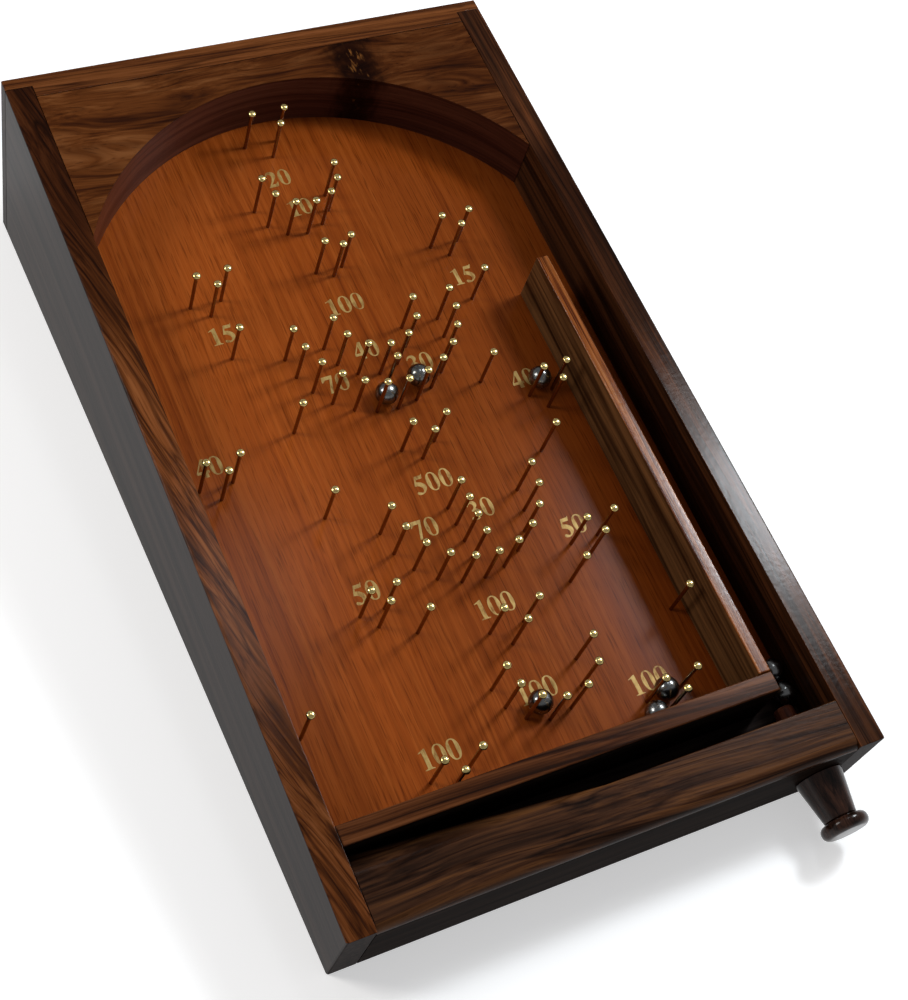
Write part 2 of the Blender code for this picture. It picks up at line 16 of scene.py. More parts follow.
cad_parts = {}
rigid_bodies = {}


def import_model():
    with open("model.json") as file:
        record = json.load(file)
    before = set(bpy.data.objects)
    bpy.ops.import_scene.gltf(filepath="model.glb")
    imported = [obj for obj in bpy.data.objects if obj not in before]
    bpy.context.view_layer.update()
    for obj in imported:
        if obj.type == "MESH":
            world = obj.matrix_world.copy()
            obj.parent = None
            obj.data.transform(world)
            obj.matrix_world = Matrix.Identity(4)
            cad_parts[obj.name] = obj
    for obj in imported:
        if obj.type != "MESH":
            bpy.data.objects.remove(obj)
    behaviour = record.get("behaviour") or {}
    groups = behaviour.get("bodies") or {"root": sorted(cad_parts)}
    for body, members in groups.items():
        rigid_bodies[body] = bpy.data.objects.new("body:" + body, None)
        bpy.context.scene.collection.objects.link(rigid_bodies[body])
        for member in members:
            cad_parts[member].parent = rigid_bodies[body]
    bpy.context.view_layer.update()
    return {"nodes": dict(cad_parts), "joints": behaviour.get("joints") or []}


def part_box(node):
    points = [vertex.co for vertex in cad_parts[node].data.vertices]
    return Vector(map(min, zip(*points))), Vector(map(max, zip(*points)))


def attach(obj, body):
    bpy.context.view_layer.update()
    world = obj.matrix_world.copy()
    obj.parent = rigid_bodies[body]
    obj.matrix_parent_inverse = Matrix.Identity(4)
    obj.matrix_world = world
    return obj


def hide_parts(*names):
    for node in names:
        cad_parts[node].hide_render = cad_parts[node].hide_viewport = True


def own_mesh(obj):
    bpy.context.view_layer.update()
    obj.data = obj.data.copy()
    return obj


for leftover in list(bpy.data.objects):
    bpy.data.objects.remove(leftover, do_unlink=True)
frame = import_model()
print("CAD nodes:", len(frame["nodes"]))

# %% [markdown]
# ## The deck
# A board game like this slopes so that the balls roll back to the player. Working in tilted numbers is
# tiring, so everything is drawn flat, with x across, y up the board and z square to it, and turned onto
# the slope at the end. The slope could be typed in, but the joints of the frame already hold it: one ball
# runs up the lane, another lifts square off the field.

# %% Find the deck from the joints and the left rail
joints = {joint["name"]: joint for joint in frame["joints"]}
ACROSS = Vector((1.0, 0.0, 0.0))
UPHILL = Vector(joints["lane_ball_run"]["axis"]).normalized()
SQUARE = Vector(joints["ball_1_lift"]["axis"]).normalized()
SLOPE = math.atan2(UPHILL.z, UPHILL.y)
LEVELLED = Matrix.Rotation(-SLOPE, 3, "X")  # turns the deck level


def node_points(node):
    """A CAD node's points as rows of x, y and z."""
    return np.array([vertex.co for vertex in frame["nodes"][node].data.vertices])


rail_points = node_points("left_rail")
ORIGIN = UPHILL * float((rail_points @ np.array(UPHILL)).min())
ORIGIN += SQUARE * float((rail_points @ np.array(SQUARE)).max())
DECK = Matrix.Translation(ORIGIN) @ Matrix((ACROSS, UPHILL, SQUARE)).transposed().to_4x4()
TO_DECK = DECK.inverted()
print(f"slope {math.degrees(SLOPE):.2f} degrees, deck starts at {[round(c, 4) for c in ORIGIN]}")


# %% Measure the inside of the case
def deck_points(node):
    """A node's points, seen from the deck."""
    return node_points(node) @ np.array(TO_DECK.to_3x3()).T + np.array(TO_DECK.translation)


def deck_box(node):
    """A node's lowest and highest corners on the deck."""
    points = deck_points(node)
    return Vector(points.min(axis=0)), Vector(points.max(axis=0))


HALF_INSIDE = -deck_box("left_rail")[1].x
field_points = deck_points("playfield")
FLOOR = float(field_points[np.abs(field_points[:, 0]) > HALF_INSIDE, 2].max())
CROWN = float(field_points[:, 2].max())
print(f"inside half width {HALF_INSIDE:.4f}, floor {FLOOR:.4f}, pin crowns {CROWN:.4f}")

# %% [markdown]
# ## The camera
# The photograph was taken from the player's left, from above and a little tilted. The place, the turn and
# the lens were fitted to the board's edges and pins. The small shift sets the board in the frame where the
# photograph has it.

# %% Set the camera
CAMERA_PLACE = (-0.31632, -0.41470, 0.70124)
CAMERA_TURN = (38.736, -9.570, -25.066)  # degrees
CAMERA_SHIFT = (0.03115, -0.09426)
FOCAL_LENGTH, SENSOR_WIDTH = 65.855, 36.0  # millimetres
NEAREST_SEEN = 0.01


def new_object(name, data):
    """An object with the given data, put in the scene."""
    made = bpy.data.objects.new(name, data)
    bpy.context.scene.collection.objects.link(made)
    return made


lens = bpy.data.cameras.new("photo_camera")
lens.lens, lens.sensor_width = FOCAL_LENGTH, SENSOR_WIDTH
lens.shift_x, lens.shift_y = CAMERA_SHIFT
lens.clip_start = NEAREST_SEEN
camera = new_object("photo_camera", lens)
camera.location = CAMERA_PLACE
camera.rotation_euler = [math.radians(angle) for angle in CAMERA_TURN]
bpy.context.scene.camera = camera
print("camera at", tuple(round(c, 3) for c in camera.location))

# %% [markdown]
# ## Wood finishes
# Rosewood is dark and striped: broad bands of growth, finer streaks in them, and short open pores, all
# drawn out along the grain. A photograph of wood could be wrapped on, but it would stretch at every edge.
# Noise that is squeezed across the grain and stretched along it runs through the piece as real grain does,
# so the end of a board shows the same bands as its top. Each board gets its own offset and its own tones.
# One option darkens some stretches along a board's length. Another paints shade on a face that goes down
# into the trough, darker the deeper it lies.


# %% Helpers for building a material
def new_finish(name):
    """An empty procedural material, its node tree and its shader."""
    made = bpy.data.materials.new(name)
    made.use_nodes = True
    return made, made.node_tree, made.node_tree.nodes["Principled BSDF"]


def connect(tree, node, inputs):
    """Feeds a node's inputs, by name or number, from sockets or with plain values."""
    for key, value in inputs.items():
        if isinstance(value, bpy.types.NodeSocket):
            tree.links.new(value, node.inputs[key])
        else:
            node.inputs[key].default_value = value


def add_node(tree, kind, inputs, **settings):
    """A new node with its settings and its inputs."""
    made = tree.nodes.new("ShaderNode" + kind)
    for name, value in settings.items():
        setattr(made, name, value)
    connect(tree, made, inputs)
    return made


def calculate(tree, operation, *values):
    """A Math node; its inputs are numbers or sockets."""
    return add_node(tree, "Math", dict(enumerate(values)), operation=operation).outputs["Value"]


def vector_math(tree, operation, *values):
    """The same for vectors; it gives a vector and a value."""
    return add_node(tree, "VectorMath", dict(enumerate(values)), operation=operation).outputs


def stretched_noise(tree, vector, scale, offset=(0.0, 0.0, 0.0), detail=2.0, roughness=0.5):
    """Noise over a vector that is first scaled along each axis."""
    laid = add_node(tree, "Mapping", {"Vector": vector, "Scale": scale, "Location": offset})
    inputs = {"Vector": laid.outputs["Vector"], "Scale": 1.0, "Detail": detail, "Roughness": roughness}
    return add_node(tree, "TexNoise", inputs).outputs


print("node helpers ready")


# %% Helpers for tones
def tone_ramp(tree, value, stops):
    """Colours over a value, from (place, colour) stops; a lone number is a grey."""
    ramp = add_node(tree, "ValToRGB", {"Fac": value})
    while len(ramp.color_ramp.elements) < len(stops):
        ramp.color_ramp.elements.new(0.5)
    for element, (place, tone) in zip(ramp.color_ramp.elements, stops):
        element.position = place
        element.color = (*tone, 1.0) if isinstance(tone, tuple) else (tone, tone, tone, 1.0)
    return ramp.outputs["Color"]


def mixed(tree, blend, amount, colour, other):
    """Two colours mixed by an amount."""
    inputs = {"Factor": amount, "A": colour, "B": other}
    return add_node(tree, "Mix", inputs, data_type="RGBA", blend_type=blend).outputs["Result"]


def darker(tree, colour, value, stops, shade):
    """The colour, taken towards a shade by as much as the stops say over a value."""
    return mixed(tree, "MULTIPLY", tone_ramp(tree, value, stops), colour, (*shade, 1.0))


print("tone helpers ready")

# %% Helpers for places on the board
CENTIMETRES = 100.0  # in a metre


def deck_vector(tree, lean=0.0):
    """Object coordinates turned to lie along the deck, or to lean a few degrees across it."""
    place = add_node(tree, "TexCoord", {}).outputs["Object"]
    turn = (-SLOPE, 0.0, math.radians(lean))
    return add_node(tree, "Mapping", {"Vector": place, "Rotation": turn}).outputs["Vector"]


def coordinate(tree, vector, axis):
    """One coordinate of a vector."""
    return add_node(tree, "SeparateXYZ", {"Vector": vector}).outputs[axis]


def depth_below(tree, vector, level):
    """How far a point lies under a level of the deck, in centimetres, to drive a ramp."""
    level_height = (LEVELLED @ (DECK @ Vector((0.0, 0.0, level)))).z
    below = calculate(tree, "SUBTRACT", level_height, coordinate(tree, vector, "Z"))
    return calculate(tree, "MULTIPLY", below, CENTIMETRES)


def share_of_length(tree, vector):
    """How far up the board a point lies, from 0 at the front end to 1 at the back."""
    from_front = calculate(tree, "SUBTRACT", coordinate(tree, vector, "Y"), (LEVELLED @ ORIGIN).y)
    return calculate(tree, "DIVIDE", from_front, deck_box("left_rail")[1].y)


def share_of_width(tree, vector):
    """How far across the inside of the case a point lies, from 0 at the left to 1 at the right."""
    return calculate(tree, "MULTIPLY_ADD", coordinate(tree, vector, "X"), 1.0 / (2 * HALF_INSIDE), 0.5)


print("place helpers ready")

# %% The grain of a wood
ALONG_BOARD = (0, 1, 0)
ALONG_WIDTH = (1, 0, 0)
IN_LAYERS = (1, 1, 0)
WANDER = 5.0  # waves of the grain to the metre
WANDER_ACROSS = 4  # waves across the grain for one along it
FINER_ALONG, FINER_ACROSS = 2.3, 5  # streaks for one band
VEINS_TO_A_BAND = 0.8
PORES_ALONG, PORES_ACROSS = 70.0, 1900.0  # to the metre
TONE_PLACES = (0.34, 0.43, 0.52, 0.64)
BROAD_SHARE = 0.68  # of the tone; the fine streaks give the rest
VEIN_WIDTH = 0.045
VEIN_SHADE = (0.22, 0.17, 0.15)
OPEN_PORES = ((0.58, 0.0), (0.70, 0.8))
PORE_SHADE = (0.55, 0.50, 0.48)


def grain_scale(grain, along, across):
    """A noise scale that differs along the grain and across it."""
    return tuple(along if axis else across for axis in grain)


def bent_grain(tree, vector, grain, wave, waves):
    """Adds a slow wander to the grain."""
    scale = grain_scale(grain, waves, WANDER_ACROSS * waves)
    wander = stretched_noise(tree, vector, scale, offset=(3.1, 1.7, 5.3))
    return vector_math(tree, "MULTIPLY_ADD", wander["Color"], (wave, wave, wave), vector)["Vector"]


def wood_tone(tree, vector, grain, tones, bands, offset, veins, drawn_out):
    """Bands, veins and pores, as a colour and as a height for the bump."""
    along = bands / drawn_out

    def layer(stretched, squeezed, place, detail, roughness=0.5):
        scale = grain_scale(grain, stretched, squeezed)
        return stretched_noise(tree, vector, scale, place, detail, roughness)["Fac"]

    broad = layer(along, bands, offset, detail=3.0, roughness=0.6)
    fine = layer(FINER_ALONG * along, FINER_ACROSS * bands, offset, detail=2.0)
    growth = layer(VEINS_TO_A_BAND * along, VEINS_TO_A_BAND * bands, offset[::-1], detail=1.0)
    pore = layer(PORES_ALONG, PORES_ACROSS, offset, detail=1.0)
    drawn = calculate(tree, "MULTIPLY", broad, BROAD_SHARE)
    drawn = calculate(tree, "MULTIPLY_ADD", fine, 1.0 - BROAD_SHARE, drawn)
    colour = tone_ramp(tree, drawn, list(zip(TONE_PLACES, tones)))
    from_line = calculate(tree, "ABSOLUTE", calculate(tree, "SUBTRACT", growth, 0.5))
    colour = darker(tree, colour, from_line, ((0.0, veins), (VEIN_WIDTH, 0.0)), VEIN_SHADE)
    return darker(tree, colour, pore, OPEN_PORES, PORE_SHADE), fine


print("grain helpers ready")

# %% A striped, lacquered wood
RIPPLE = (300.0, 380.0, 300.0)  # brush marks to the metre
RIPPLE_SHARE = 3.0  # of the relief, against the grain's 1
GRAIN_DEPTH = 0.0002
# painted shade for faces that go down into the trough
TROUGH_PAINTED_SHADE = (0.02, 0.02, 0.03)
LENGTH_DARK_SHADE = (0.20, 0.17, 0.16)


def lacquered(tree, shader, vector, colour, height, roughness, specular, relief):
    """A clear, even finish over the wood, with the grain and a faint brushed ripple felt through it."""
    ripple = stretched_noise(tree, vector, RIPPLE, detail=1.0)["Fac"]
    height = calculate(tree, "MULTIPLY_ADD", ripple, RIPPLE_SHARE, height)
    bump = add_node(tree, "Bump", {"Strength": relief, "Distance": GRAIN_DEPTH, "Height": height})
    connect(tree, shader, {"Base Color": colour, "Normal": bump.outputs["Normal"]})
    connect(tree, shader, {"Roughness": roughness, "Specular IOR Level": specular})


def striped_wood(
    name, grain, tones, bands, offset, lean=0.0, wave=0.01, veins=0.8, drawn_out=45.0,
    roughness=0.2, specular=0.08, relief=0.05, painted_shade_by_depth=(), length_darkening=(),
):
    """A board's finish: its grain, its tones and its lacquer."""
    made, tree, shader = new_finish(name)
    vector = bent_grain(tree, deck_vector(tree, lean), grain, wave, WANDER)
    colour, height = wood_tone(tree, vector, grain, tones, bands, offset, veins, drawn_out)
    # painted shade: faces below the deck's top grow darker the deeper they lie
    if painted_shade_by_depth:
        depth = depth_below(tree, deck_vector(tree), 0.0)
        colour = darker(tree, colour, depth, painted_shade_by_depth, TROUGH_PAINTED_SHADE)
    # some stretches along the length are darkened
    if length_darkening:
        colour = darker(tree, colour, share_of_length(tree, vector), length_darkening, LENGTH_DARK_SHADE)
    lacquered(tree, shader, vector, colour, height, roughness, specular, relief)
    return made


DARK_BROWN = ((0.009, 0.003, 0.002), (0.019, 0.007, 0.003), (0.042, 0.014, 0.005), (0.082, 0.026, 0.009))
RED_DARK = ((0.015, 0.005, 0.002), (0.034, 0.010, 0.003), (0.080, 0.024, 0.007), (0.130, 0.044, 0.014))
RED_MIDDLE = ((0.028, 0.008, 0.003), (0.070, 0.019, 0.004), (0.154, 0.044, 0.010), (0.238, 0.078, 0.022))
WARM_DARK = ((0.013, 0.004, 0.002), (0.028, 0.010, 0.004), (0.062, 0.020, 0.007), (0.122, 0.038, 0.012))
ORANGE_BROWN = ((0.032, 0.009, 0.003), (0.072, 0.020, 0.005), (0.120, 0.037, 0.009), (0.160, 0.052, 0.015))
STRIPED_BROWN = ((0.026, 0.006, 0.002), (0.076, 0.014, 0.002), (0.205, 0.057, 0.010), (0.320, 0.118, 0.036))
OLIVE_BROWN = ((0.011, 0.005, 0.003), (0.024, 0.010, 0.005), (0.054, 0.021, 0.009), (0.105, 0.041, 0.013))
SIDE_BROWN = ((0.006, 0.003, 0.003), (0.011, 0.006, 0.005), (0.018, 0.011, 0.009), (0.030, 0.018, 0.014))
# the front faces: dark rosewood darkened further with painted shade
FRONT_PAINTED_SHADE = ((0.004, 0.002, 0.002), (0.007, 0.004, 0.003), (0.012, 0.007, 0.005), (0.020, 0.012, 0.009))
LIT_OLIVE = ((0.030, 0.012, 0.005), (0.060, 0.025, 0.009), (0.110, 0.048, 0.017), (0.170, 0.072, 0.024))
print("each wood has", len(DARK_BROWN), "tones, from its darkest bands to its palest")

# %% Finishes of the side and back rails
# darkened stretches along the rails, over the share of the length
LEFT_LENGTH_DARKENING = ((0.40, 0.36), (0.50, 0.12), (0.62, 0.0), (0.70, 0.1), (0.78, 0.70), (0.92, 0.95))
RIGHT_LENGTH_DARKENING = (
    (0.02, 0.0), (0.25, 0.25), (0.50, 0.22), (0.58, 0.5),
    (0.70, 0.85), (0.78, 0.85), (0.84, 0.14), (0.95, 0.4),
)
LEFT_PLANK = (0.3, 0.9, 0.1)
left_top = striped_wood(
    "left_rail_top", ALONG_BOARD, RED_MIDDLE, bands=230.0, offset=LEFT_PLANK,
    lean=-12.0, wave=0.03, drawn_out=25.0, length_darkening=LEFT_LENGTH_DARKENING,
)
left_side = striped_wood(
    "left_rail_side", ALONG_BOARD, SIDE_BROWN, bands=160.0, offset=(4.3, 0.2, 2.1),
    roughness=0.45, specular=0.11,
)
right_top = striped_wood(
    "right_rail_top", ALONG_BOARD, WARM_DARK, bands=230.0, offset=(7.7, 3.1, 0.8),
    lean=-1.0, roughness=0.15, relief=0.06, length_darkening=RIGHT_LENGTH_DARKENING,
)
right_side = striped_wood(
    "right_rail_side", ALONG_BOARD, DARK_BROWN, bands=160.0, offset=(1.3, 6.4, 4.9), roughness=0.35
)
rail_end = striped_wood(
    "rail_end_grain", ALONG_BOARD, SIDE_BROWN, bands=420.0, offset=LEFT_PLANK,
    roughness=0.5, specular=0.02,
)
back_top = striped_wood(
    "back_rail_top", ALONG_WIDTH, ORANGE_BROWN, bands=200.0, offset=(2.2, 8.1, 3.3), lean=1.5
)
back_side = striped_wood(
    "back_rail_side", ALONG_WIDTH, SIDE_BROWN, bands=120.0, offset=(6.2, 1.1, 7.3), roughness=0.45
)
print("finishes so far:", len(bpy.data.materials))

# %% Finishes of the front rail and the dividers
FRONT_PLANK = (5.5, 2.7, 1.6)
# painted shade on the shoulder, darker down into the trough
SHOULDER_PAINTED_SHADE = ((0.0, 0.0), (0.08, 0.5), (0.25, 0.9), (0.6, 1.0))  # over the depth in centimetres
front_top = striped_wood(
    "front_rail_top", ALONG_WIDTH, OLIVE_BROWN, bands=190.0, offset=FRONT_PLANK, lean=3.0, wave=0.03
)
front_shoulder = striped_wood(
    "front_rail_shoulder", ALONG_WIDTH, OLIVE_BROWN, bands=190.0, offset=FRONT_PLANK,
    lean=3.0, wave=0.03, specular=0.03, painted_shade_by_depth=SHOULDER_PAINTED_SHADE,
)
# front faces: painted shade over dark rosewood
front_side = striped_wood(
    "front_rail_side", ALONG_WIDTH, FRONT_PAINTED_SHADE, bands=130.0, offset=FRONT_PLANK,
    roughness=0.5, specular=0.004,
)
divider_top = striped_wood(
    "lane_divider_top", ALONG_BOARD, STRIPED_BROWN, bands=520.0, offset=(0.7, 4.4, 9.2),
    lean=0.6, wave=0.002, roughness=0.15, specular=0.15, relief=0.06,
)
divider_side = striped_wood(
    "lane_divider_side", ALONG_BOARD, LIT_OLIVE, bands=110.0, offset=(3.9, 0.4, 6.1), roughness=0.3
)
foot_top = striped_wood(
    "bottom_divider_top", ALONG_WIDTH, RED_DARK, bands=210.0, offset=(8.8, 5.2, 0.4), lean=2.0
)
print("finishes so far:", len(bpy.data.materials))

# %% [markdown]
# ## Figured wood for the arch
# The block behind the arch is cut from a wilder plank: its grain swells in waves and flows round one dark
# knot. The same stripes serve, but before they are drawn the vector is pushed away from the knot's centre,
# strongly close by and hardly at all further off, as the growth layers of a trunk part round a branch. A few
# golden streaks are added at the knot's heart.

# %% The knot
KNOT = Vector((0.0465, 0.4085, 0.0))  # on the deck
KNOT_LEVELLED = LEVELLED @ (DECK @ KNOT)
KNOT_REACH = 0.011
KNOT_PUSH = 0.9
KNOT_SHAPE = (1.4, 0.6, 0.2)
KNOT_EDGE = (330.0, 170.0, 120.0)  # ragged points to the metre
KNOT_RAGGEDNESS = 0.016


def from_knot(tree, vector):
    """The way and the distance from the knot, and the distance again with a ragged edge."""
    away = vector_math(tree, "SUBTRACT", vector, KNOT_LEVELLED)["Vector"]
    way = vector_math(tree, "MULTIPLY", away, KNOT_SHAPE)["Vector"]
    far = vector_math(tree, "LENGTH", way)["Value"]
    ragged = stretched_noise(tree, vector, KNOT_EDGE, offset=(0.3, 0.8, 0.5), detail=3.0)["Fac"]
    return way, far, calculate(tree, "MULTIPLY_ADD", ragged, KNOT_RAGGEDNESS, far)


def parted_grain(tree, vector, way, far):
    """Squeezes the grain round the knot."""
    near = calculate(tree, "ADD", calculate(tree, "MULTIPLY", far, far), KNOT_REACH**2)
    push = calculate(tree, "DIVIDE", -KNOT_PUSH * KNOT_REACH**2, near)
    parted = vector_math(tree, "MULTIPLY", way, push)["Vector"]
    return vector_math(tree, "ADD", vector, parted)["Vector"]


print("knot at deck", tuple(round(c, 3) for c in KNOT))

# %% The arch's finish
FIGURED = ((0.024, 0.006, 0.002), (0.054, 0.014, 0.003), (0.097, 0.028, 0.006), (0.156, 0.055, 0.016))
WALL_RED = ((0.034, 0.009, 0.006), (0.054, 0.015, 0.009), (0.080, 0.023, 0.013), (0.120, 0.038, 0.021))
FIGURED_WANDER = 7.0  # waves of the grain to the metre
KNOT_RING = ((0.009, 0.9), (0.014, 1.0), (0.020, 0.8), (0.029, 0.0))  # over the distance in metres
KNOT_HEART = ((0.010, 1.0), (0.014, 0.0))
KNOT_SHADE = (0.10, 0.05, 0.03)
FIBRES = (560.0, 150.0, 300.0)  # to the metre
GOLD_STREAKS = ((0.53, 0.0), (0.68, (0.24, 0.09, 0.02)))
# painted shade, darker towards the right of the arch block
PAINTED_SHADE_TO_RIGHT = ((0.30, 0.0), (0.85, 1.0))  # over the share of the width
RIGHT_PAINTED_SHADE = (0.60, 0.55, 0.50)


def knotted_wood(name, grain, tones, bands, offset, wave, veins, drawn_out):
    """A plank's finish with the knot in it, with painted shade that grows darker towards the right."""
    made, tree, shader = new_finish(name)
    plain = deck_vector(tree)
    way, far, ragged_far = from_knot(tree, plain)
    vector = bent_grain(tree, parted_grain(tree, plain, way, far), grain, wave, FIGURED_WANDER)
    colour, height = wood_tone(tree, vector, grain, tones, bands, offset, veins, drawn_out)
    colour = darker(tree, colour, ragged_far, KNOT_RING, KNOT_SHADE)
    # painted shade towards the right
    colour = darker(tree, colour, share_of_width(tree, vector), PAINTED_SHADE_TO_RIGHT, RIGHT_PAINTED_SHADE)
    fibre = stretched_noise(tree, plain, FIBRES, offset=(0.2, 0.4, 0.6))["Fac"]
    gold = tone_ramp(tree, fibre, GOLD_STREAKS)
    colour = mixed(tree, "ADD", tone_ramp(tree, ragged_far, KNOT_HEART), colour, gold)
    lacquered(tree, shader, vector, colour, height, roughness=0.28, specular=0.05, relief=0.07)
    return made


arch_top = knotted_wood(
    "arch_block_top", ALONG_WIDTH, FIGURED, bands=120.0, offset=(1.9, 0.6, 2.4),
    wave=0.05, veins=0.35, drawn_out=12.0,
)
arch_wall = knotted_wood(
    "arch_block_wall", IN_LAYERS, WALL_RED, bands=110.0, offset=(2.6, 3.6, 1.2),
    wave=0.01, veins=0.3, drawn_out=45.0,
)
print("finishes so far:", len(bpy.data.materials))

# %% [markdown]
# ## The playfield's veneer
# The field is a reddish veneer under gloss lacquer. Its figure is quieter than the rosewood's: fine dark
# lines that run the length of the board, and a few broad soft bands. It uses the same recipe with closer
# tones, a smoother lacquer and almost no relief, so the pins and walls are mirrored in it. Towards the lane
# the sheet is coloured darker.

# %% The playfield's finish
RED_BROWN = ((0.215, 0.042, 0.006), (0.262, 0.054, 0.007), (0.302, 0.066, 0.009), (0.345, 0.081, 0.012))
TO_LANE = ((0.36, 0.0), (1.0, 1.0))  # over the share of the width, with clouds added
LANE_SIDE = (0.58, 0.56, 0.55)
CLOUDS = (26.0, 9.0, 26.0)  # to the metre
CLOUD_SHARE = 0.35


def veneer_finish():
    """The sheet of veneer on the field."""
    made, tree, shader = new_finish("playfield_veneer")
    plain = deck_vector(tree)
    vector = bent_grain(tree, plain, ALONG_BOARD, wave=0.006, waves=WANDER)
    colour, height = wood_tone(
        tree, vector, ALONG_BOARD, RED_BROWN,
        bands=300.0, offset=(2.4, 1.1, 0.2), veins=0.2, drawn_out=110.0,
    )
    cloud = stretched_noise(tree, plain, CLOUDS, offset=(4.2, 0.3, 1.1))["Fac"]
    across = calculate(tree, "MULTIPLY_ADD", cloud, CLOUD_SHARE, share_of_width(tree, vector))
    colour = darker(tree, colour, across, TO_LANE, LANE_SIDE)
    lacquered(tree, shader, vector, colour, height, roughness=0.2, specular=0.065, relief=0.015)
    return made


veneer = veneer_finish()
# the trough's strip: dark wood with painted shade for the deep trough
trough_floor_painted_shade = striped_wood(
    "trough_floor_painted_shade", ALONG_WIDTH, SIDE_BROWN, bands=150.0, offset=(6.1, 0.7, 0.2),
    roughness=0.5, specular=0.02,
)
under_panel = striped_wood(
    "playfield_under", ALONG_BOARD, OLIVE_BROWN, bands=60.0, offset=(0.9, 0.1, 0.2),
    roughness=0.6, specular=0.1,
)
print("finishes so far:", len(bpy.data.materials))

# %% [markdown]
# ## Boards
# A joiner saws a board from stock, then takes the sharp arris off its edges, more on the edges that hands
# touch. The same order works here: a cube is scaled to the stock, `bisect_plane` is the saw, and `bevel`
# is the plane. Meeting edges inside the case stay nearly sharp, so the joints show only as fine lines.

# %% Stock and saw
SAME_POINT = 1e-7
SPARE = 0.05  # stock to be sawn off
BELOW_TABLE = -0.12
TABLE = ((0.0, 0.0, 0.0), (0.0, 0.0, -1.0))
BACKWARDS = (0.0, 1.0, 0.0)


def board(low, high):
    """Stock between two corners on the deck."""
    shape = bmesh.new()
    bmesh.ops.create_cube(shape, size=1.0)
    bmesh.ops.scale(shape, vec=high - low, verts=shape.verts)
    bmesh.ops.translate(shape, vec=(low + high) / 2, verts=shape.verts)
    return shape


def whole(shape):
    """Everything in a shape, to hand to an operator."""
    return shape.verts[:] + shape.edges[:] + shape.faces[:]


def saw(shape, place, facing):
    """Cuts off what lies beyond a plane, given in the world, and closes the cut."""
    place, facing = TO_DECK @ Vector(place), TO_DECK.to_3x3() @ Vector(facing)
    cut = bmesh.ops.bisect_plane(
        shape, geom=whole(shape), dist=SAME_POINT, plane_co=place, plane_no=facing, clear_outer=True
    )
    rim = [part for part in cut["geom_cut"] if isinstance(part, bmesh.types.BMEdge)]
    bmesh.ops.holes_fill(shape, edges=rim)


print(f"stock is left {SPARE * 1000:.0f} mm too long for the saw")

# %% Rounded edges
SHARP = math.radians(32)
TOUCHED_EDGE = 0.0011
INNER_EDGE = 0.0003
CLOSE = 1e-4


def round_over(shape, edges, radius, segments=4):
    """Takes the arris off some edges."""
    bmesh.ops.bevel(
        shape, geom=edges, offset=radius, offset_type="OFFSET", segments=segments, profile=0.5,
        affect="EDGES", material=-1, clamp_overlap=True,
    )


def sharp_edges(shape):
    """The edges between faces that turn sharply."""
    return [edge for edge in shape.edges if len(edge.link_faces) == 2 and edge.calc_face_angle() > SHARP]


def edges_near(shape, test):
    """The sharp edges whose middle passes a test."""
    return [edge for edge in sharp_edges(shape) if test((edge.verts[0].co + edge.verts[1].co) / 2)]


def ease_the_rest(shape):
    """Takes a hair off every edge that is still sharp."""
    round_over(shape, sharp_edges(shape), INNER_EDGE, segments=2)


print(f"edges: {TOUCHED_EDGE * 1000:.1f} mm where hands touch, {INNER_EDGE * 1000:.1f} mm inside")

# %% From a shape to a piece
JOINT_GAP = 0.0003
LOOKS_UP = 0.35


def two_finishes(shape, limit=LOOKS_UP):
    """Faces that look up take the first material, the others the second."""
    bmesh.ops.recalc_face_normals(shape, faces=shape.faces)
    for face in shape.faces:
        face.material_index = 0 if face.normal.z > limit else 1


def into_piece(name, shape, body, slot_name, *finishes, node=None):
    """Lays a shape on the deck and makes it a piece of the board, in place of a CAD node."""
    bmesh.ops.transform(shape, matrix=DECK, verts=shape.verts)
    mesh = bpy.data.meshes.new(name)
    shape.to_mesh(mesh)
    shape.free()
    for finish in finishes:
        mesh.materials.append(finish)
    mesh.shade_smooth()
    mesh.set_sharp_from_angle(angle=SHARP)
    piece = new_object(name, mesh)
    even = piece.modifiers.new("even shading", "WEIGHTED_NORMAL")
    even.keep_sharp = True
    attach(piece, body)
    if node:
        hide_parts(node)
    print(f"{name}: {len(mesh.polygons)} faces")
    return piece


print("board helpers ready")

# %% [markdown]
# ## The side rails
# Two long boards make the sides of the case. They stand on the table, so their lower edge is level while
# their top follows the slope. They could be extruded from a side view, but stock that is cut to fit by two
# saw cuts, one along the table and one at the back rail, follows the way that a joiner works. Their back ends
# are let into the back rail by half its thickness. The front ends show end grain, which soaks up lacquer and
# looks duller, so those faces get a finish of their own.

# %% The side rails
back_low, back_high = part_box("back_rail")
back_face = back_low.y - JOINT_GAP
REBATE = (back_high.y - back_low.y) / 2
FACES_FRONT = -0.7


def side_rail(node, side, *finishes):
    """One side of the case; side is -1 on the left and 1 on the right."""
    low, high = deck_box(node)
    low.z = BELOW_TABLE
    high.y += SPARE
    shape = board(low, high)
    saw(shape, *TABLE)
    saw(shape, (0.0, back_face + REBATE, 0.0), BACKWARDS)
    outer = side * max(abs(low.x), abs(high.x))

    def handled(middle):
        return abs(middle.x - outer) < CLOSE and max(middle.z, -middle.y) > -CLOSE

    round_over(shape, edges_near(shape, handled), TOUCHED_EDGE)
    ease_the_rest(shape)
    two_finishes(shape)
    for face in shape.faces:
        if face.normal.y < FACES_FRONT:
            face.material_index = 2
    into_piece(f"{node}_wood", shape, "board", "rosewood_side", *finishes, node=node)


side_rail("left_rail", -1, left_top, left_side, rail_end)
side_rail("right_rail", 1, right_top, right_side, rail_end)

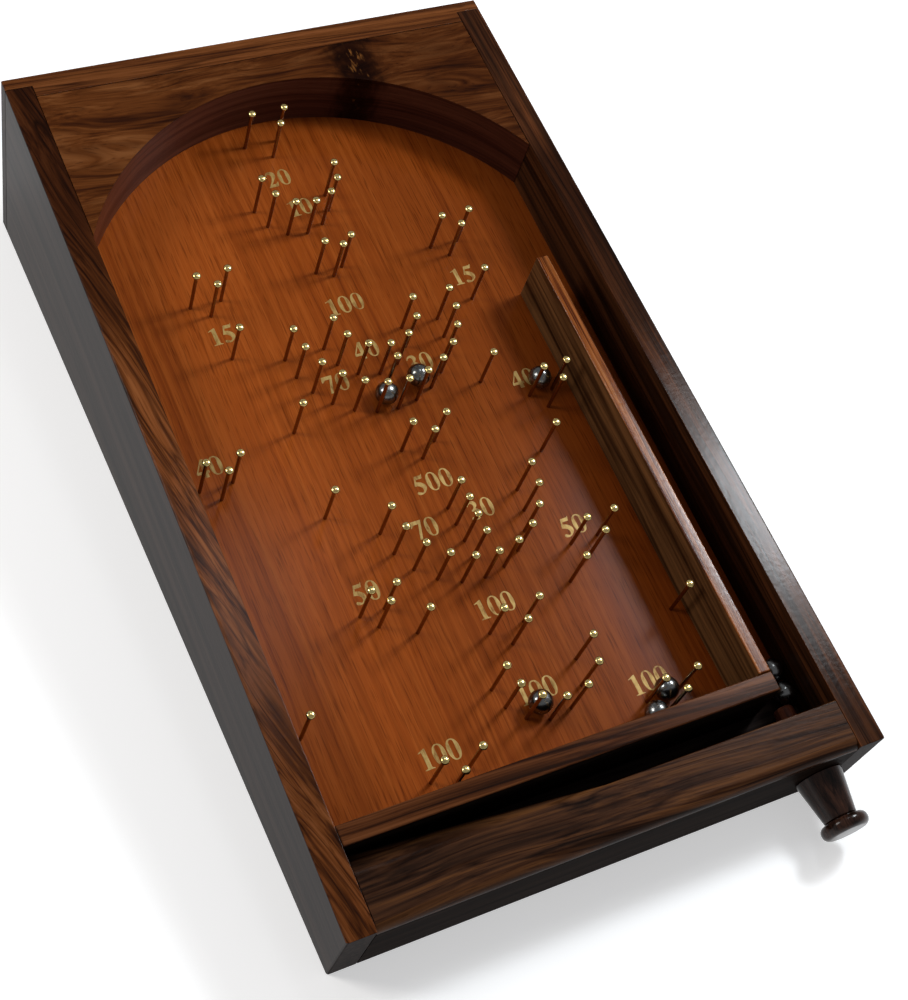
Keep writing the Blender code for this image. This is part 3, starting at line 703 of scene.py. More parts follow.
# %% [markdown]
# ## The back rail
# The back rail closes the case over its whole width. A rebate at each end takes the end of a side rail, so
# that only a lip half as thick shows behind it. The rebates could be cut out of a plain board, but it is
# simpler to draw the board's plan with its steps and raise it. Its faces are upright, not square to the deck,
# so the plan is raised in the world, laid on the deck, and then sawn along the deck's top. Only the edges
# that a hand meets are rounded well over.

# %% Helpers for drawn outlines
SPARE_HEIGHT = 0.02  # sawn off along the deck's top


def draw_line(shape, points, closed=False):
    """A chain of edges through some points."""
    line = [shape.verts.new(point) for point in points]
    following = line[1:] + line[:1] if closed else line[1:]
    for start, end in zip(line, following):
        shape.edges.new((start, end))


def raise_outline(shape, height):
    """Fills a closed outline and draws it out into a solid."""
    filled = bmesh.ops.contextual_create(shape, geom=shape.edges[:])["faces"]
    grown = bmesh.ops.extrude_face_region(shape, geom=filled)
    moved = [part for part in grown["geom"] if isinstance(part, bmesh.types.BMVert)]
    bmesh.ops.translate(shape, vec=(0.0, 0.0, height), verts=moved)


print("outline helpers ready")

# %% The back rail
half_width = back_high.x
step = HALF_INSIDE - JOINT_GAP
lip = back_low.y + REBATE
plan = [(-half_width, back_high.y), (-half_width, lip), (-step, lip), (-step, back_low.y)]
plan += [(-x, y) for x, y in reversed(plan)]
shape = bmesh.new()
draw_line(shape, [(x, y, 0.0) for x, y in plan], closed=True)
raise_outline(shape, back_high.z + SPARE_HEIGHT)
bmesh.ops.recalc_face_normals(shape, faces=shape.faces)
bmesh.ops.transform(shape, matrix=TO_DECK, verts=shape.verts)
saw(shape, ORIGIN, SQUARE)
back_edge = max(vertex.co.y for vertex in shape.verts if vertex.co.z > -CLOSE)


def back_handled(middle):
    at_back = middle.y > back_edge - CLOSE
    at_end = abs(middle.x) > half_width - CLOSE
    return middle.z > -CLOSE and (at_back or at_end)


round_over(shape, edges_near(shape, back_handled), TOUCHED_EDGE)
ease_the_rest(shape)
two_finishes(shape)
into_piece("back_rail_wood", shape, "board", "rosewood_back", back_top, back_side, node="back_rail")

# %% [markdown]
# ## The front rail
# This board has the most work in it: a rounded front edge, a bore for the plunger, a groove for the panel
# and a shoulder that tapers along the trough to lead the balls to the lane. The CAD solid has all of that
# already, so a copy of its mesh is welded into whole faces and shaded, and nothing is drawn twice. The faces
# that lead down into the trough take the finish with painted shade, darker the deeper they lie.

# %% The front rail
CAD_POINT = 1e-6  # CAD points that lie closer are one
FLAT = math.radians(0.3)
FRONT_LOOKS_UP = 0.15
LEANS = 0.02
SHOULDER_START = 0.012

shape = bmesh.new()
shape.from_mesh(frame["nodes"]["front_rail"].data)
bmesh.ops.remove_doubles(shape, verts=shape.verts, dist=CAD_POINT)
bmesh.ops.dissolve_limit(shape, angle_limit=FLAT, verts=shape.verts, edges=shape.edges)
bmesh.ops.transform(shape, matrix=TO_DECK, verts=shape.verts)
two_finishes(shape, FRONT_LOOKS_UP)
# faces that lead down into the trough take the finish with painted shade
for face in shape.faces:
    leads_down = face.normal.y > LEANS and face.normal.z > LEANS
    if leads_down and face.calc_center_median().y > SHOULDER_START:
        face.material_index = 2
front_finishes = (front_top, front_side, front_shoulder)
into_piece("front_rail_wood", shape, "board", "rosewood_front", *front_finishes, node="front_rail")

# %% [markdown]
# ## The two dividers
# A thin striped fence parts the lane from the field, and a lower strip parts the field from the trough where
# the played balls wait. Both are planed strips, glued and pinned from below. They are boards with a small
# rounding on their upper edges, and need no saw because they stand square on the deck.

# %% The two dividers
DIVIDER_EDGE = 0.0006


def divider(node, slot_name, *finishes):
    """A planed strip that stands on the field."""
    shape = board(*deck_box(node))
    round_over(shape, edges_near(shape, lambda middle: middle.z > -CLOSE), DIVIDER_EDGE, segments=3)
    ease_the_rest(shape)
    two_finishes(shape)
    into_piece(f"{node}_wood", shape, "board", slot_name, *finishes, node=node)


divider("lane_divider", "striped_rosewood", divider_top, divider_side)
divider("bottom_divider", "rosewood_front", foot_top, front_side)

# %% [markdown]
# ## The arch
# The arch turns the ball that comes out of the lane. A maker bandsaws it from a block with one sweep of a
# curve. Here a single point is spun about the arch's centre, which draws the same sweep; two corners close
# the outline, and the face is extruded to the block's depth. The centre and the radius come from three
# points of the CAD block: its two feet and its crown.

# %% Measure the arch
NEAR_CENTRE = 0.004
points = deck_points("arch_block")
half = float(points[:, 0].max())
foot = float(points[np.abs(points[:, 0]) > half - CLOSE, 1].min())
crown = float(points[np.abs(points[:, 0]) < NEAR_CENTRE, 1].min())
rise = crown - foot
arch_radius = (half**2 + rise**2) / (2 * rise)
arch_centre = Vector((0.0, crown - arch_radius, 0.0))
sweep = 2 * math.asin(half / arch_radius)
print(f"arch radius {arch_radius:.4f}, sweep {math.degrees(sweep):.1f} degrees")

# %% The arch block
ARCH_STEPS = 120
shape = bmesh.new()
first = shape.verts.new((half, foot, 0.0))
spun = bmesh.ops.spin(
    shape, geom=[first], cent=arch_centre, axis=(0.0, 0.0, 1.0), angle=sweep, steps=ARCH_STEPS
)
last = spun["geom_last"][0]
corners = [shape.verts.new((side * half, crown + SPARE, 0.0)) for side in (-1, 1)]
for start, end in ((last, corners[0]), (corners[0], corners[1]), (corners[1], first)):
    shape.edges.new((start, end))
raise_outline(shape, float(points[:, 2].min()))
saw(shape, (0.0, back_face, 0.0), BACKWARDS)
bmesh.ops.recalc_face_normals(shape, faces=shape.faces)
ease_the_rest(shape)
two_finishes(shape)
into_piece("arch_block_wood", shape, "board", "figured_rosewood", arch_top, arch_wall, node="arch_block")

# %% [markdown]
# ## The playfield panel
# One veneered panel slides into the case and carries everything that is played on. Its strip in the trough
# is coloured dark: painted shade for the deep trough. A second panel could be laid there, but the real one
# is in one piece, so its face is only divided by `bisect_plane` behind the lower strip, and the front part
# gets the dark finish with painted shade.

# %% The playfield panel
FRONT_RAIL_THICKNESS = 0.022
PANEL_EDGE = 0.0002
low, high = deck_box("playfield")
low.x, high.x = -HALF_INSIDE, HALF_INSIDE
low.y = deck_box("front_rail")[0].y + FRONT_RAIL_THICKNESS
high.y = deck_box("arch_block")[1].y
high.z = FLOOR
shape = board(low, high)
saw(shape, (0.0, back_face, 0.0), BACKWARDS)
round_over(shape, sharp_edges(shape), PANEL_EDGE, segments=2)
trough_end = deck_box("bottom_divider")[1].y
bmesh.ops.bisect_plane(
    shape, geom=whole(shape), dist=SAME_POINT, plane_co=(0.0, trough_end, 0.0), plane_no=(0.0, 1.0, 0.0)
)
two_finishes(shape)
# the strip in the trough takes the finish with painted shade
for face in shape.faces:
    if face.material_index == 0 and face.calc_center_median().y < trough_end:
        face.material_index = 2
panel_finishes = (veneer, under_panel, trough_floor_painted_shade)
into_piece("playfield_panel", shape, "board", "playfield_veneer", *panel_finishes, node="playfield")

# %% [markdown]
# ## Brass pins
# The pins are round-headed brass nails. Their places are read from the crowns of the CAD pins, so the
# pattern is not written twice. One pin is a short profile spun about its axis; it is copied to every place.
# The heads are coloured bright brass and the stems a darker brown.

# %% The pins' finish
BRASS = (
    (0.0, (0.82, 0.65, 0.27)), (0.15, (0.74, 0.54, 0.19)),
    (0.19, (0.38, 0.26, 0.12)), (1.0, (0.30, 0.19, 0.09)),
)  # over the depth below the crown, in centimetres
SPOTS = (900.0, 900.0, 900.0)  # to the metre
DULL_SPOTS = ((0.45, 0.0), (0.75, 0.6))
DULL_BRASS = (0.55, 0.45, 0.30)
brass, tree, shader = new_finish("pin_brass")
vector = deck_vector(tree)
spots = stretched_noise(tree, vector, SPOTS, detail=3.0)["Fac"]
colour = tone_ramp(tree, depth_below(tree, vector, CROWN), BRASS)
colour = darker(tree, colour, spots, DULL_SPOTS, DULL_BRASS)
connect(tree, shader, {"Base Color": colour, "Metallic": 1.0, "Roughness": 0.22})
print("brass ready")

# %% One pin
PIN_TURN = 20
STEM_RADIUS, STEM_SUNK = 0.00088, 0.0005
HEAD_RADIUS, HEAD_HEIGHT = 0.00205, 0.0015
HEAD_RIM = 0.00025  # height of the widest line over the head's underside
HEAD_UNDERSIDE = 0.93 * HEAD_RADIUS
NECK = 0.0001
DOME_ANGLES = np.linspace(0.05, 1.35, 6)  # radians


def weld(shape):
    """Merges points that coincide and turns every face outwards."""
    bmesh.ops.remove_doubles(shape, verts=shape.verts, dist=SAME_POINT)
    bmesh.ops.recalc_face_normals(shape, faces=shape.faces)


def lathe(shape, centre, axis, steps):
    """Takes a drawn line once round an axis."""
    line = shape.verts[:] + shape.edges[:]
    bmesh.ops.spin(shape, geom=line, cent=centre, axis=axis, angle=math.tau, steps=steps, use_merge=True)
    weld(shape)


under = CROWN - HEAD_HEIGHT
rim, dome = under + HEAD_RIM, HEAD_HEIGHT - HEAD_RIM
outline = [(STEM_RADIUS, FLOOR - STEM_SUNK), (STEM_RADIUS, under - NECK), (HEAD_UNDERSIDE, under)]
outline += [(HEAD_RADIUS * math.cos(angle), rim + dome * math.sin(angle)) for angle in DOME_ANGLES]
outline.append((0.0, CROWN))
shape = bmesh.new()
draw_line(shape, [(radius, 0.0, z) for radius, z in outline])
lathe(shape, (0, 0, 0), (0, 0, 1), PIN_TURN)
bmesh.ops.holes_fill(shape, edges=[edge for edge in shape.edges if edge.is_boundary])
bmesh.ops.recalc_face_normals(shape, faces=shape.faces)
one_pin = bpy.data.meshes.new("one_pin")
shape.to_mesh(one_pin)
shape.free()
print("faces of a pin:", len(one_pin.polygons))

# %% All the pins
CROWN_DEPTH = 2e-5
tops = field_points[field_points[:, 2] > CROWN - CROWN_DEPTH][:, :2]
pin_spots = np.unique(np.round(tops, decimals=5), axis=0)


def add_copy(shape, mesh, place):
    """Adds a copy of a mesh, moved by a matrix."""
    before = len(shape.verts)
    shape.from_mesh(mesh)
    shape.verts.ensure_lookup_table()
    bmesh.ops.transform(shape, matrix=place, verts=shape.verts[before:])


shape = bmesh.new()
for x, y in pin_spots:
    add_copy(shape, one_pin, Matrix.Translation((x, y, 0.0)))
bpy.data.meshes.remove(one_pin)
into_piece("brass_pins", shape, "board", "pin_brass", brass)
print("pins:", len(pin_spots))

# %% [markdown]
# ## Painted scores
# The scores are stamped on the veneer in dull gold, in a bold old-style figure with thick uprights and thin
# tops. A font file would draw them, but a lesson that reads no files has to draw its own. Each figure is an
# outline in a box one unit high: corners are marked, and the other points get smooth handles. A flat curve
# fills the outline and is then made a mesh as thin as paint.

# %% The figures
CORNER, SMOOTH = "VECTOR", "AUTO"


def figure(*points):
    """An outline from (x, y) corner points and (x, y, SMOOTH) round ones."""
    return [(point[0], point[1], point[2] if len(point) > 2 else CORNER) for point in points]


def oval(x, y, half_wide, half_high):
    """An outline through four round points."""
    ways = ((0, 1), (1, 0), (0, -1), (-1, 0))
    return figure(*((x + across * half_wide, y + up * half_high, SMOOTH) for across, up in ways))


FIGURES = {
    "0": [oval(0.34, 0.5, 0.315, 0.515), oval(0.34, 0.5, 0.112, 0.455)],
    "1": [
        figure(
            (0.12, 0.0), (0.60, 0.0), (0.60, 0.035), (0.475, 0.075), (0.475, 1.0), (0.43, 1.0), (0.10, 0.865),
            (0.10, 0.83), (0.265, 0.86), (0.265, 0.075), (0.12, 0.035),
        )
    ],
    "2": [
        figure(
            (0.05, 0.72), (0.14, 0.92, SMOOTH), (0.34, 1.01, SMOOTH), (0.56, 0.90, SMOOTH),
            (0.60, 0.70, SMOOTH), (0.47, 0.46, SMOOTH), (0.25, 0.185), (0.46, 0.185, SMOOTH),
            (0.585, 0.30), (0.625, 0.30), (0.56, 0.0), (0.04, 0.0), (0.04, 0.035), (0.30, 0.42, SMOOTH),
            (0.375, 0.66, SMOOTH), (0.33, 0.81, SMOOTH), (0.22, 0.85, SMOOTH), (0.085, 0.71),
        )
    ],
    "3": [
        figure(
            (0.06, 0.77), (0.15, 0.93, SMOOTH), (0.34, 1.01, SMOOTH), (0.54, 0.92, SMOOTH),
            (0.57, 0.76, SMOOTH), (0.45, 0.58), (0.60, 0.45, SMOOTH), (0.63, 0.28, SMOOTH),
            (0.50, 0.07, SMOOTH), (0.22, -0.015, SMOOTH), (0.05, 0.06, SMOOTH), (0.09, 0.17, SMOOTH),
            (0.22, 0.13, SMOOTH), (0.34, 0.08, SMOOTH),
            (0.43, 0.20, SMOOTH), (0.40, 0.38, SMOOTH), (0.20, 0.475), (0.20, 0.51), (0.36, 0.64, SMOOTH),
            (0.38, 0.78, SMOOTH), (0.30, 0.88, SMOOTH), (0.20, 0.87, SMOOTH), (0.095, 0.755),
        )
    ],
    "4": [
        figure(
            (0.42, 1.01), (0.555, 1.01), (0.555, 0.365), (0.655, 0.365), (0.655, 0.225), (0.555, 0.225),
            (0.555, 0.0), (0.355, 0.0), (0.355, 0.225), (0.025, 0.225), (0.025, 0.335),
        ),
        figure((0.355, 0.365), (0.355, 0.78), (0.105, 0.365)),
    ],
    "5": [
        figure(
            (0.585, 1.0), (0.62, 1.06), (0.645, 1.05), (0.58, 0.815), (0.25, 0.815), (0.215, 0.70),
            (0.45, 0.61, SMOOTH), (0.625, 0.36, SMOOTH), (0.49, 0.09, SMOOTH), (0.21, -0.015, SMOOTH),
            (0.05, 0.06, SMOOTH), (0.09, 0.165, SMOOTH), (0.21, 0.12, SMOOTH), (0.33, 0.08, SMOOTH),
            (0.42, 0.24, SMOOTH), (0.30, 0.43, SMOOTH), (0.075, 0.50), (0.225, 1.0),
        )
    ],
    "7": [
        figure(
            (0.085, 1.0), (0.645, 1.0), (0.645, 0.945), (0.375, 0.0), (0.235, 0.0), (0.475, 0.805),
            (0.225, 0.805), (0.075, 0.675), (0.035, 0.685),
        )
    ],
}
print("figures drawn:", "".join(sorted(FIGURES)))

# %% The scores' finish
WORN_GOLD = ((0.32, (0.18, 0.079, 0.018)), (0.46, (0.32, 0.196, 0.060)), (0.62, (0.42, 0.282, 0.094)))
WEAR = (420.0, 160.0, 420.0)  # marks to the metre
paint, tree, shader = new_finish("score_paint")
worn = stretched_noise(tree, deck_vector(tree), WEAR, detail=4.0, roughness=0.65)["Fac"]
connect(tree, shader, {"Base Color": tone_ramp(tree, worn, WORN_GOLD), "Roughness": 0.45})
connect(tree, shader, {"Metallic": 0.25, "Specular IOR Level": 0.1})
print("score paint ready")

# %% One score
SCORE_HEIGHT = 0.0095
FIGURE_PITCH = 0.70  # of the score's height
PAINT_THICKNESS = 0.00004
CURVE_STEPS = 8


def curve_mesh(curve):
    """A curve's shape as a mesh; the curve itself is removed."""
    drawn = new_object(curve.name, curve)
    bpy.context.view_layer.update()
    mesh = bpy.data.meshes.new_from_object(drawn.evaluated_get(bpy.context.evaluated_depsgraph_get()))
    bpy.data.objects.remove(drawn, do_unlink=True)
    bpy.data.curves.remove(curve)
    return mesh


def score_mesh(text):
    """One score as a thin filled mesh, centred on its own origin."""
    curve = bpy.data.curves.new("score", "CURVE")
    curve.dimensions = "2D"
    curve.fill_mode = "BOTH"
    curve.extrude = PAINT_THICKNESS / 2 / SCORE_HEIGHT
    curve.resolution_u = CURVE_STEPS
    for place, mark in enumerate(text):
        shift = (place - len(text) / 2) * FIGURE_PITCH
        for outline in FIGURES[mark]:
            spline = curve.splines.new("BEZIER")
            spline.bezier_points.add(len(outline) - 1)
            spline.use_cyclic_u = True
            for point, (x, y, handle) in zip(spline.bezier_points, outline):
                point.co = (x + shift, y - 0.5, 0.0)
                point.handle_left_type = handle
                point.handle_right_type = handle
    return curve_mesh(curve)


print(f"scores {SCORE_HEIGHT * 1000:.1f} mm high")

# %% The scores on the field
PATTERN_TURN = math.radians(1.5)
SCORES = (
    ("20", -0.0053, 0.3692), ("10", -0.0013, 0.3496), ("15", 0.0627, 0.2901), ("100", -0.0017, 0.2895),
    ("15", -0.0653, 0.2885), ("40", -0.0018, 0.2627), ("30", 0.0208, 0.2488), ("40", 0.0664, 0.2265),
    ("70", -0.0231, 0.2490), ("40", -0.0957, 0.2236), ("500", 0.0003, 0.1873), ("30", 0.0162, 0.1677),
    ("50", 0.0546, 0.1467), ("70", -0.0132, 0.1660), ("50", -0.0515, 0.1448), ("100", 0.0017, 0.1211),
    ("100", 0.0535, 0.0662), ("100", 0.0024, 0.0783), ("100", -0.0505, 0.0656),
)
stamp = Matrix.Rotation(PATTERN_TURN, 4, "Z") @ Matrix.Scale(SCORE_HEIGHT, 4)
shape = bmesh.new()
for text, x, y in SCORES:
    mesh = score_mesh(text)
    add_copy(shape, mesh, Matrix.Translation((x, y, FLOOR + PAINT_THICKNESS)) @ stamp)
    bpy.data.meshes.remove(mesh)
weld(shape)
into_piece("score_numbers", shape, "board", "score_paint", paint)

# %% [markdown]
# ## The plunger
# Knob, barrel, rod and striker are turned on a lathe. `spin` is the lathe: half a section is drawn as a few
# corners and taken once round the plunger's axis, and each corner that a turner would ease is bevelled by
# its own amount. Lengths and diameters are measured on the CAD pieces.

# %% Helpers for turned pieces
TURN_STEPS = 72
ON_RING = 1e-6
knob_low, knob_high = deck_box("plunger_knob")
AXIS = Vector(((knob_low.x + knob_high.x) / 2, 0.0, (knob_low.z + knob_high.z) / 2))


def ring_edges(shape, radius, along):
    """The edges of the circle at one corner."""
    def on_ring(vertex):
        out = vertex.co - AXIS
        return abs(out.y - along) < ON_RING and abs(math.hypot(out.x, out.z) - radius) < ON_RING

    return [edge for edge in shape.edges if on_ring(edge.verts[0]) and on_ring(edge.verts[1])]


def turned(corners, closed=False):
    """Spins (radius, place along the axis, rounding) corners about the plunger's axis."""
    shape = bmesh.new()
    draw_line(shape, [AXIS + Vector((radius, along, 0.0)) for radius, along, _ in corners], closed)
    lathe(shape, AXIS, (0, 1, 0), TURN_STEPS)
    for radius, along, rounding in corners:
        if rounding:
            round_over(shape, ring_edges(shape, radius, along), rounding, segments=6)
    return shape


print("plunger axis at", [round(c, 4) for c in AXIS])

# %% Turned finishes
TURNED_DARK = ((0.006, 0.003, 0.002), (0.013, 0.006, 0.004), (0.026, 0.011, 0.007), (0.046, 0.019, 0.011))
STRIKER_RED = ((0.040, 0.011, 0.006), (0.070, 0.019, 0.010), (0.110, 0.030, 0.015), (0.160, 0.050, 0.026))
PALE_DOWEL = ((0.12, 0.07, 0.033), (0.19, 0.11, 0.055), (0.27, 0.17, 0.09), (0.34, 0.23, 0.13))
turned_dark = striped_wood(
    "turned_rosewood", ALONG_BOARD, TURNED_DARK, bands=260.0, offset=(1.1, 2.3, 3.7),
    roughness=0.18, specular=0.22, relief=0.03,
)
striker_red = striped_wood(
    "striker_wood", ALONG_BOARD, STRIKER_RED, bands=300.0, offset=(5.1, 0.3, 2.7), roughness=0.35
)
dowel = striped_wood(
    "dowel_wood", ALONG_BOARD, PALE_DOWEL, bands=500.0, offset=(0.4, 6.6, 1.9), roughness=0.5, specular=0.3
)
print("turned finishes ready")

# %% Knob, rod and striker
EASED = 0.0003
KNOB_BACK_EDGE, KNOB_FRONT_EDGE = 0.0027, 0.0030
STRIKER_NOSE = 0.0020
rod_low, rod_high = deck_box("plunger_rod")
striker_low, striker_high = deck_box("plunger_striker")
ROD = (rod_high.x - rod_low.x) / 2
ROD_HOLE = ROD + JOINT_GAP
knob_radius = (knob_high.x - knob_low.x) / 2
striker_radius = (striker_high.x - striker_low.x) / 2
socket = rod_low.y - JOINT_GAP
inner = rod_high.y + JOINT_GAP
PLUNGER = (
    ("plunger_knob", "turned_rosewood", turned_dark, (
        (0.0, socket, 0.0), (ROD_HOLE, socket, 0.0), (ROD_HOLE, knob_high.y, EASED),
        (knob_radius, knob_high.y, KNOB_BACK_EDGE), (knob_radius, knob_low.y, KNOB_FRONT_EDGE),
        (0.0, knob_low.y, 0.0),
    )),
    ("plunger_rod", "dowel_wood", dowel, (
        (0.0, rod_high.y, 0.0), (ROD, rod_high.y, EASED), (ROD, rod_low.y, EASED), (0.0, rod_low.y, 0.0),
    )),
    ("plunger_striker", "striker_wood", striker_red, (
        (0.0, striker_high.y, 0.0), (striker_radius, striker_high.y, STRIKER_NOSE),
        (striker_radius, striker_low.y, EASED), (ROD_HOLE, striker_low.y, 0.0),
        (ROD_HOLE, inner, 0.0), (0.0, inner, 0.0),
    )),
)
for node, slot_name, finish, corners in PLUNGER:
    into_piece(f"{node}_turned", turned(corners), "plunger", slot_name, finish, node=node)

# %% The barrel
AT_FACE = 1e-5
END_WALL = 0.003
BARREL_FOOT, BARREL_LIP = 0.0004, 0.0007
barrel_low, barrel_high = deck_box("plunger_barrel")
barrel = deck_points("plunger_barrel") - np.array(AXIS)
barrel_reach = np.hypot(barrel[:, 0], barrel[:, 2])
at_end = np.abs(barrel[:, 1] - barrel_low.y) < AT_FACE
at_seat = barrel[:, 1] > barrel_high.y - AT_FACE
BASE_RADIUS = float(barrel_reach.max())
END_RADIUS = float(barrel_reach[at_end].max())
SPIGOT_RADIUS = float(barrel_reach[at_seat].max())
BORE_RADIUS = float(barrel_reach[at_seat].min())
bore_end = barrel_low.y + END_WALL
corners = (
    (BORE_RADIUS, barrel_high.y, 0.0), (SPIGOT_RADIUS, barrel_high.y, 0.0), (SPIGOT_RADIUS, -JOINT_GAP, 0.0),
    (BASE_RADIUS, -JOINT_GAP, BARREL_FOOT), (END_RADIUS, barrel_low.y, BARREL_LIP),
    (ROD_HOLE, barrel_low.y, EASED), (ROD_HOLE, bore_end, 0.0), (BORE_RADIUS, bore_end, 0.0),
)
shape = turned(corners, closed=True)
into_piece("plunger_barrel_turned", shape, "board", "turned_rosewood", turned_dark, node="plunger_barrel")

# %% [markdown]
# ## The spring
# Inside the barrel a coil of steel wire pushes the plunger home. It is a helix, computed point by point,
# with a round wire drawn round it. On the real board the coil closes up when the knob is pulled; here it is
# made at one length.

# %% The coil
WIRE = 0.0008
TURNS, TURN_POINTS = 9, 24
spring_low, spring_high = deck_box("plunger_spring")
spring_points = deck_points("plunger_spring") - np.array(AXIS)
coil_radius = float(np.hypot(spring_points[:, 0], spring_points[:, 2]).max()) - WIRE / 2
angles = np.linspace(0.0, math.tau * TURNS, TURN_POINTS * TURNS + 1)
places = np.linspace(spring_low.y + WIRE, spring_high.y - WIRE, len(angles))
wire = bpy.data.curves.new("plunger_spring_wire", "CURVE")
wire.dimensions = "3D"
wire.bevel_depth = WIRE / 2
wire.bevel_resolution = 2
wire.use_fill_caps = True
path = wire.splines.new("POLY")
path.points.add(len(angles) - 1)
for point, angle, along in zip(path.points, angles, places):
    out = Vector((coil_radius * math.cos(angle), along, coil_radius * math.sin(angle)))
    point.co = (*(AXIS + out), 1.0)
coil = curve_mesh(wire)
print(f"coil of {TURNS} turns, radius {coil_radius:.4f}")

# %% The spring's finish
DRAWN_WIRE = (2500.0, 400.0, 2500.0)  # marks to the metre
steel_wire, tree, shader = new_finish("spring_steel")
marks = stretched_noise(tree, deck_vector(tree), DRAWN_WIRE)["Fac"]
grey_steel = tone_ramp(tree, marks, [(0.3, (0.36, 0.36, 0.37)), (0.7, (0.62, 0.62, 0.63))])
connect(tree, shader, {"Base Color": grey_steel, "Metallic": 1.0, "Roughness": 0.3})
print("wire ready")

# %% The spring
shape = bmesh.new()
shape.from_mesh(coil)
bpy.data.meshes.remove(coil)
weld(shape)
spring = into_piece("plunger_spring_coil", shape, "board", "spring_steel", steel_wire, node="plunger_spring")
spring.modifiers.clear()
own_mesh(spring)

# %% [markdown]
# ## Steel balls
# The balls are ordinary bearing balls, a little dulled by play. Each is a fine sphere that rides on its own
# body. Polished steel has almost no colour of its own; what it shows is the room, so most of the work is in
# the lamps. Faint smears in the roughness keep the surface from looking like a mirror.

# %% The balls' finish
SMEARS = (260.0, 200.0, 320.0)  # to the metre
steel, tree, shader = new_finish("ball_steel")
vector = deck_vector(tree)
smear = stretched_noise(tree, vector, SMEARS, offset=(0.7, 0.2, 0.9), detail=4.0, roughness=0.6)["Fac"]
tone = tone_ramp(tree, smear, [(0.35, (0.17, 0.175, 0.172)), (0.65, (0.25, 0.255, 0.25))])
cloud = tone_ramp(tree, smear, [(0.35, 0.17), (0.7, 0.30)])
connect(tree, shader, {"Base Color": tone, "Roughness": cloud, "Metallic": 1.0})
print("steel ready")

# %% The balls
SEGMENTS, RINGS = 48, 24
balls = sorted(node for node in frame["nodes"] if node.startswith("ball_"))
for node in balls:
    low, high = deck_box(node)
    shape = bmesh.new()
    bmesh.ops.create_uvsphere(shape, u_segments=SEGMENTS, v_segments=RINGS, radius=(high.x - low.x) / 2)
    bmesh.ops.translate(shape, vec=(low + high) / 2, verts=shape.verts)
    into_piece(f"steel_{node}", shape, node, "ball_steel", steel, node=node)

# %% [markdown]
# ## The studio
# The photograph has a white ground and soft light from the player's right, whose glare lies along the right
# rail and the lane's fence. One even lamp there would leave a flat patch, so a small bright core sits in a
# larger, weaker box, as in a lamp behind a diffuser. A weak lamp overhead gives the left rail its sheen, and
# one from the left opens the shadows. The floor is pale, and shows white to the eye and in the metal, while
# it still takes the board's shadow. The room is pale near the ground and dim overhead, so that the lacquer
# stays deep.

# %% The floor
FLOOR_REACH = 12.0
FLOOR_GLOW = 0.45
FLOOR_PATCHES = (3.0, 3.0, 3.0)  # to the metre
FLOOR_TONES = ((0.3, 0.78), (0.7, 0.80))


def floor_finish():
    """A pale floor that shows a little brighter than it is lit, and never lights the board by that."""
    made, tree, shader = new_finish("studio_floor")
    place = add_node(tree, "TexCoord", {}).outputs["Object"]
    pale = tone_ramp(tree, stretched_noise(tree, place, FLOOR_PATCHES)["Fac"], FLOOR_TONES)
    connect(tree, shader, {"Base Color": pale, "Roughness": 0.9, "Specular IOR Level": 0.0})
    ray = add_node(tree, "LightPath", {}).outputs
    seen = calculate(tree, "MAXIMUM", ray["Is Camera Ray"], ray["Is Glossy Ray"])
    seen = calculate(tree, "MAXIMUM", seen, ray["Is Transmission Ray"])
    glow = add_node(tree, "Emission", {"Strength": calculate(tree, "MULTIPLY", seen, FLOOR_GLOW)})
    both = add_node(tree, "AddShader", {0: shader.outputs["BSDF"], 1: glow.outputs["Emission"]})
    connect(tree, tree.nodes["Material Output"], {"Surface": both.outputs["Shader"]})
    return made


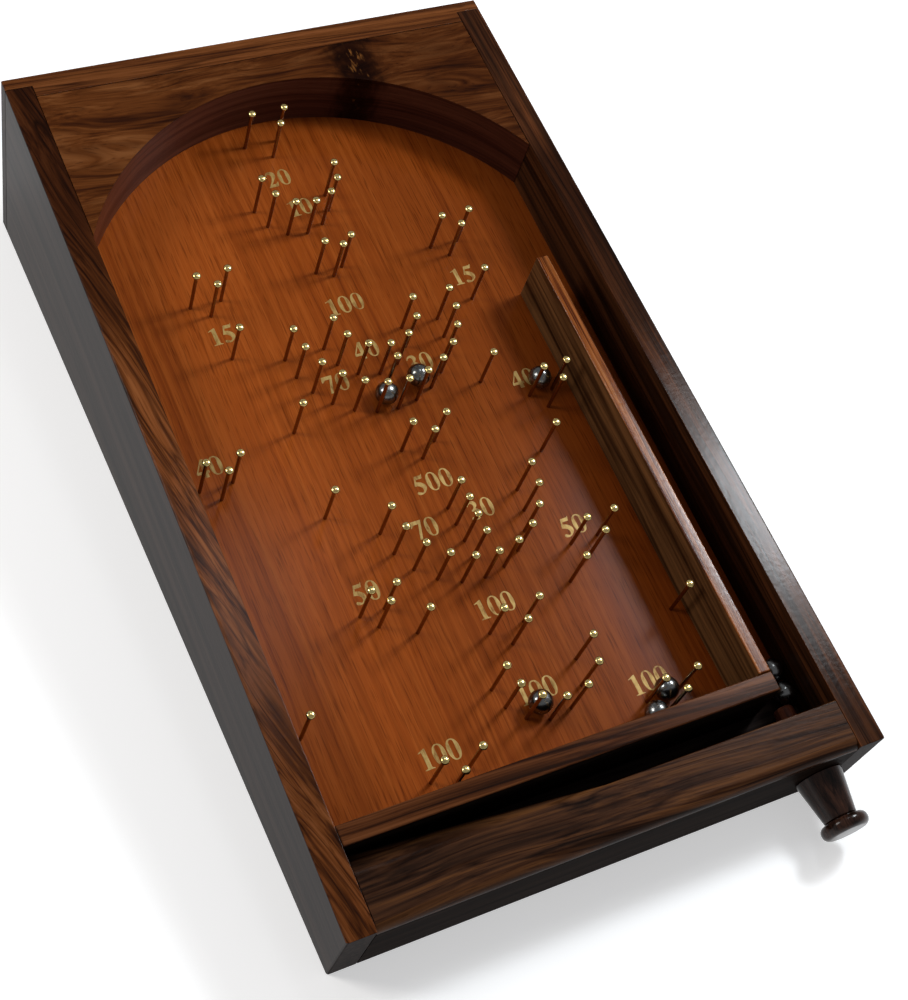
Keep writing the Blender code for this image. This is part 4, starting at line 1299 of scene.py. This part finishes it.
shape = bmesh.new()
bmesh.ops.create_grid(shape, x_segments=1, y_segments=1, size=FLOOR_REACH)
ground = bpy.data.meshes.new("floor")
shape.to_mesh(ground)
shape.free()
ground.materials.append(floor_finish())
floor = new_object("floor", ground)
print("floor ready")

# %% The room
ROOM_TONES = ((0.0, 0.85), (0.18, 0.55), (0.45, (0.26, 0.26, 0.27)), (1.0, (0.24, 0.24, 0.25)))
room = bpy.data.worlds.new("studio")
room.use_nodes = True
bpy.context.scene.world = room
tree = room.node_tree
upwards = coordinate(tree, add_node(tree, "TexCoord", {}).outputs["Generated"], "Z")
connect(tree, tree.nodes["Background"], {"Color": tone_ramp(tree, upwards, ROOM_TONES)})
print("room ready")

# %% The lamps
AIM = Vector((0.0, 0.0, 0.05))
FROM_RIGHT = (0.585, 0.075, 0.674)
FROM_ABOVE = (0.145, 0.186, 0.93)
FROM_LEFT = (-0.72, 0.30, 0.62)
LAMPS = (  # name, way, distance, size, radiance and colour
    ("lamp_right_core", FROM_RIGHT, 0.89, (0.13, 0.13), 54.0, (0.87, 0.94, 1.0)),
    ("lamp_right_box", FROM_RIGHT, 0.91, (0.28, 0.28), 12.5, (0.97, 0.99, 1.0)),
    ("lamp_over", FROM_ABOVE, 0.96, (0.12, 0.20), 7.0, (0.92, 0.96, 1.0)),
    ("lamp_back_left", FROM_LEFT, 1.3, (0.4, 0.4), 13.0, (1.0, 0.97, 0.93)),
)


def soft_lamp(name, way, distance, size, radiance, colour):
    """A rectangular soft lamp that looks at the middle of the board."""
    data = bpy.data.lights.new(name, "AREA")
    data.shape = "RECTANGLE"
    data.size, data.size_y = size
    data.energy = radiance * math.pi * size[0] * size[1]
    data.color = colour
    lamp = new_object(name, data)
    lamp.location = AIM + Vector(way).normalized() * distance
    lamp.rotation_euler = (AIM - lamp.location).to_track_quat("-Z", "Y").to_euler()
    print(f"{name}: radiance {radiance}, {data.energy:.1f} W")


for settings in LAMPS:
    soft_lamp(*settings)

# %% [markdown]
# ## Last settings
# The Standard view shows each colour about as it is written.

# %% View settings
bpy.context.scene.view_settings.view_transform = "Standard"
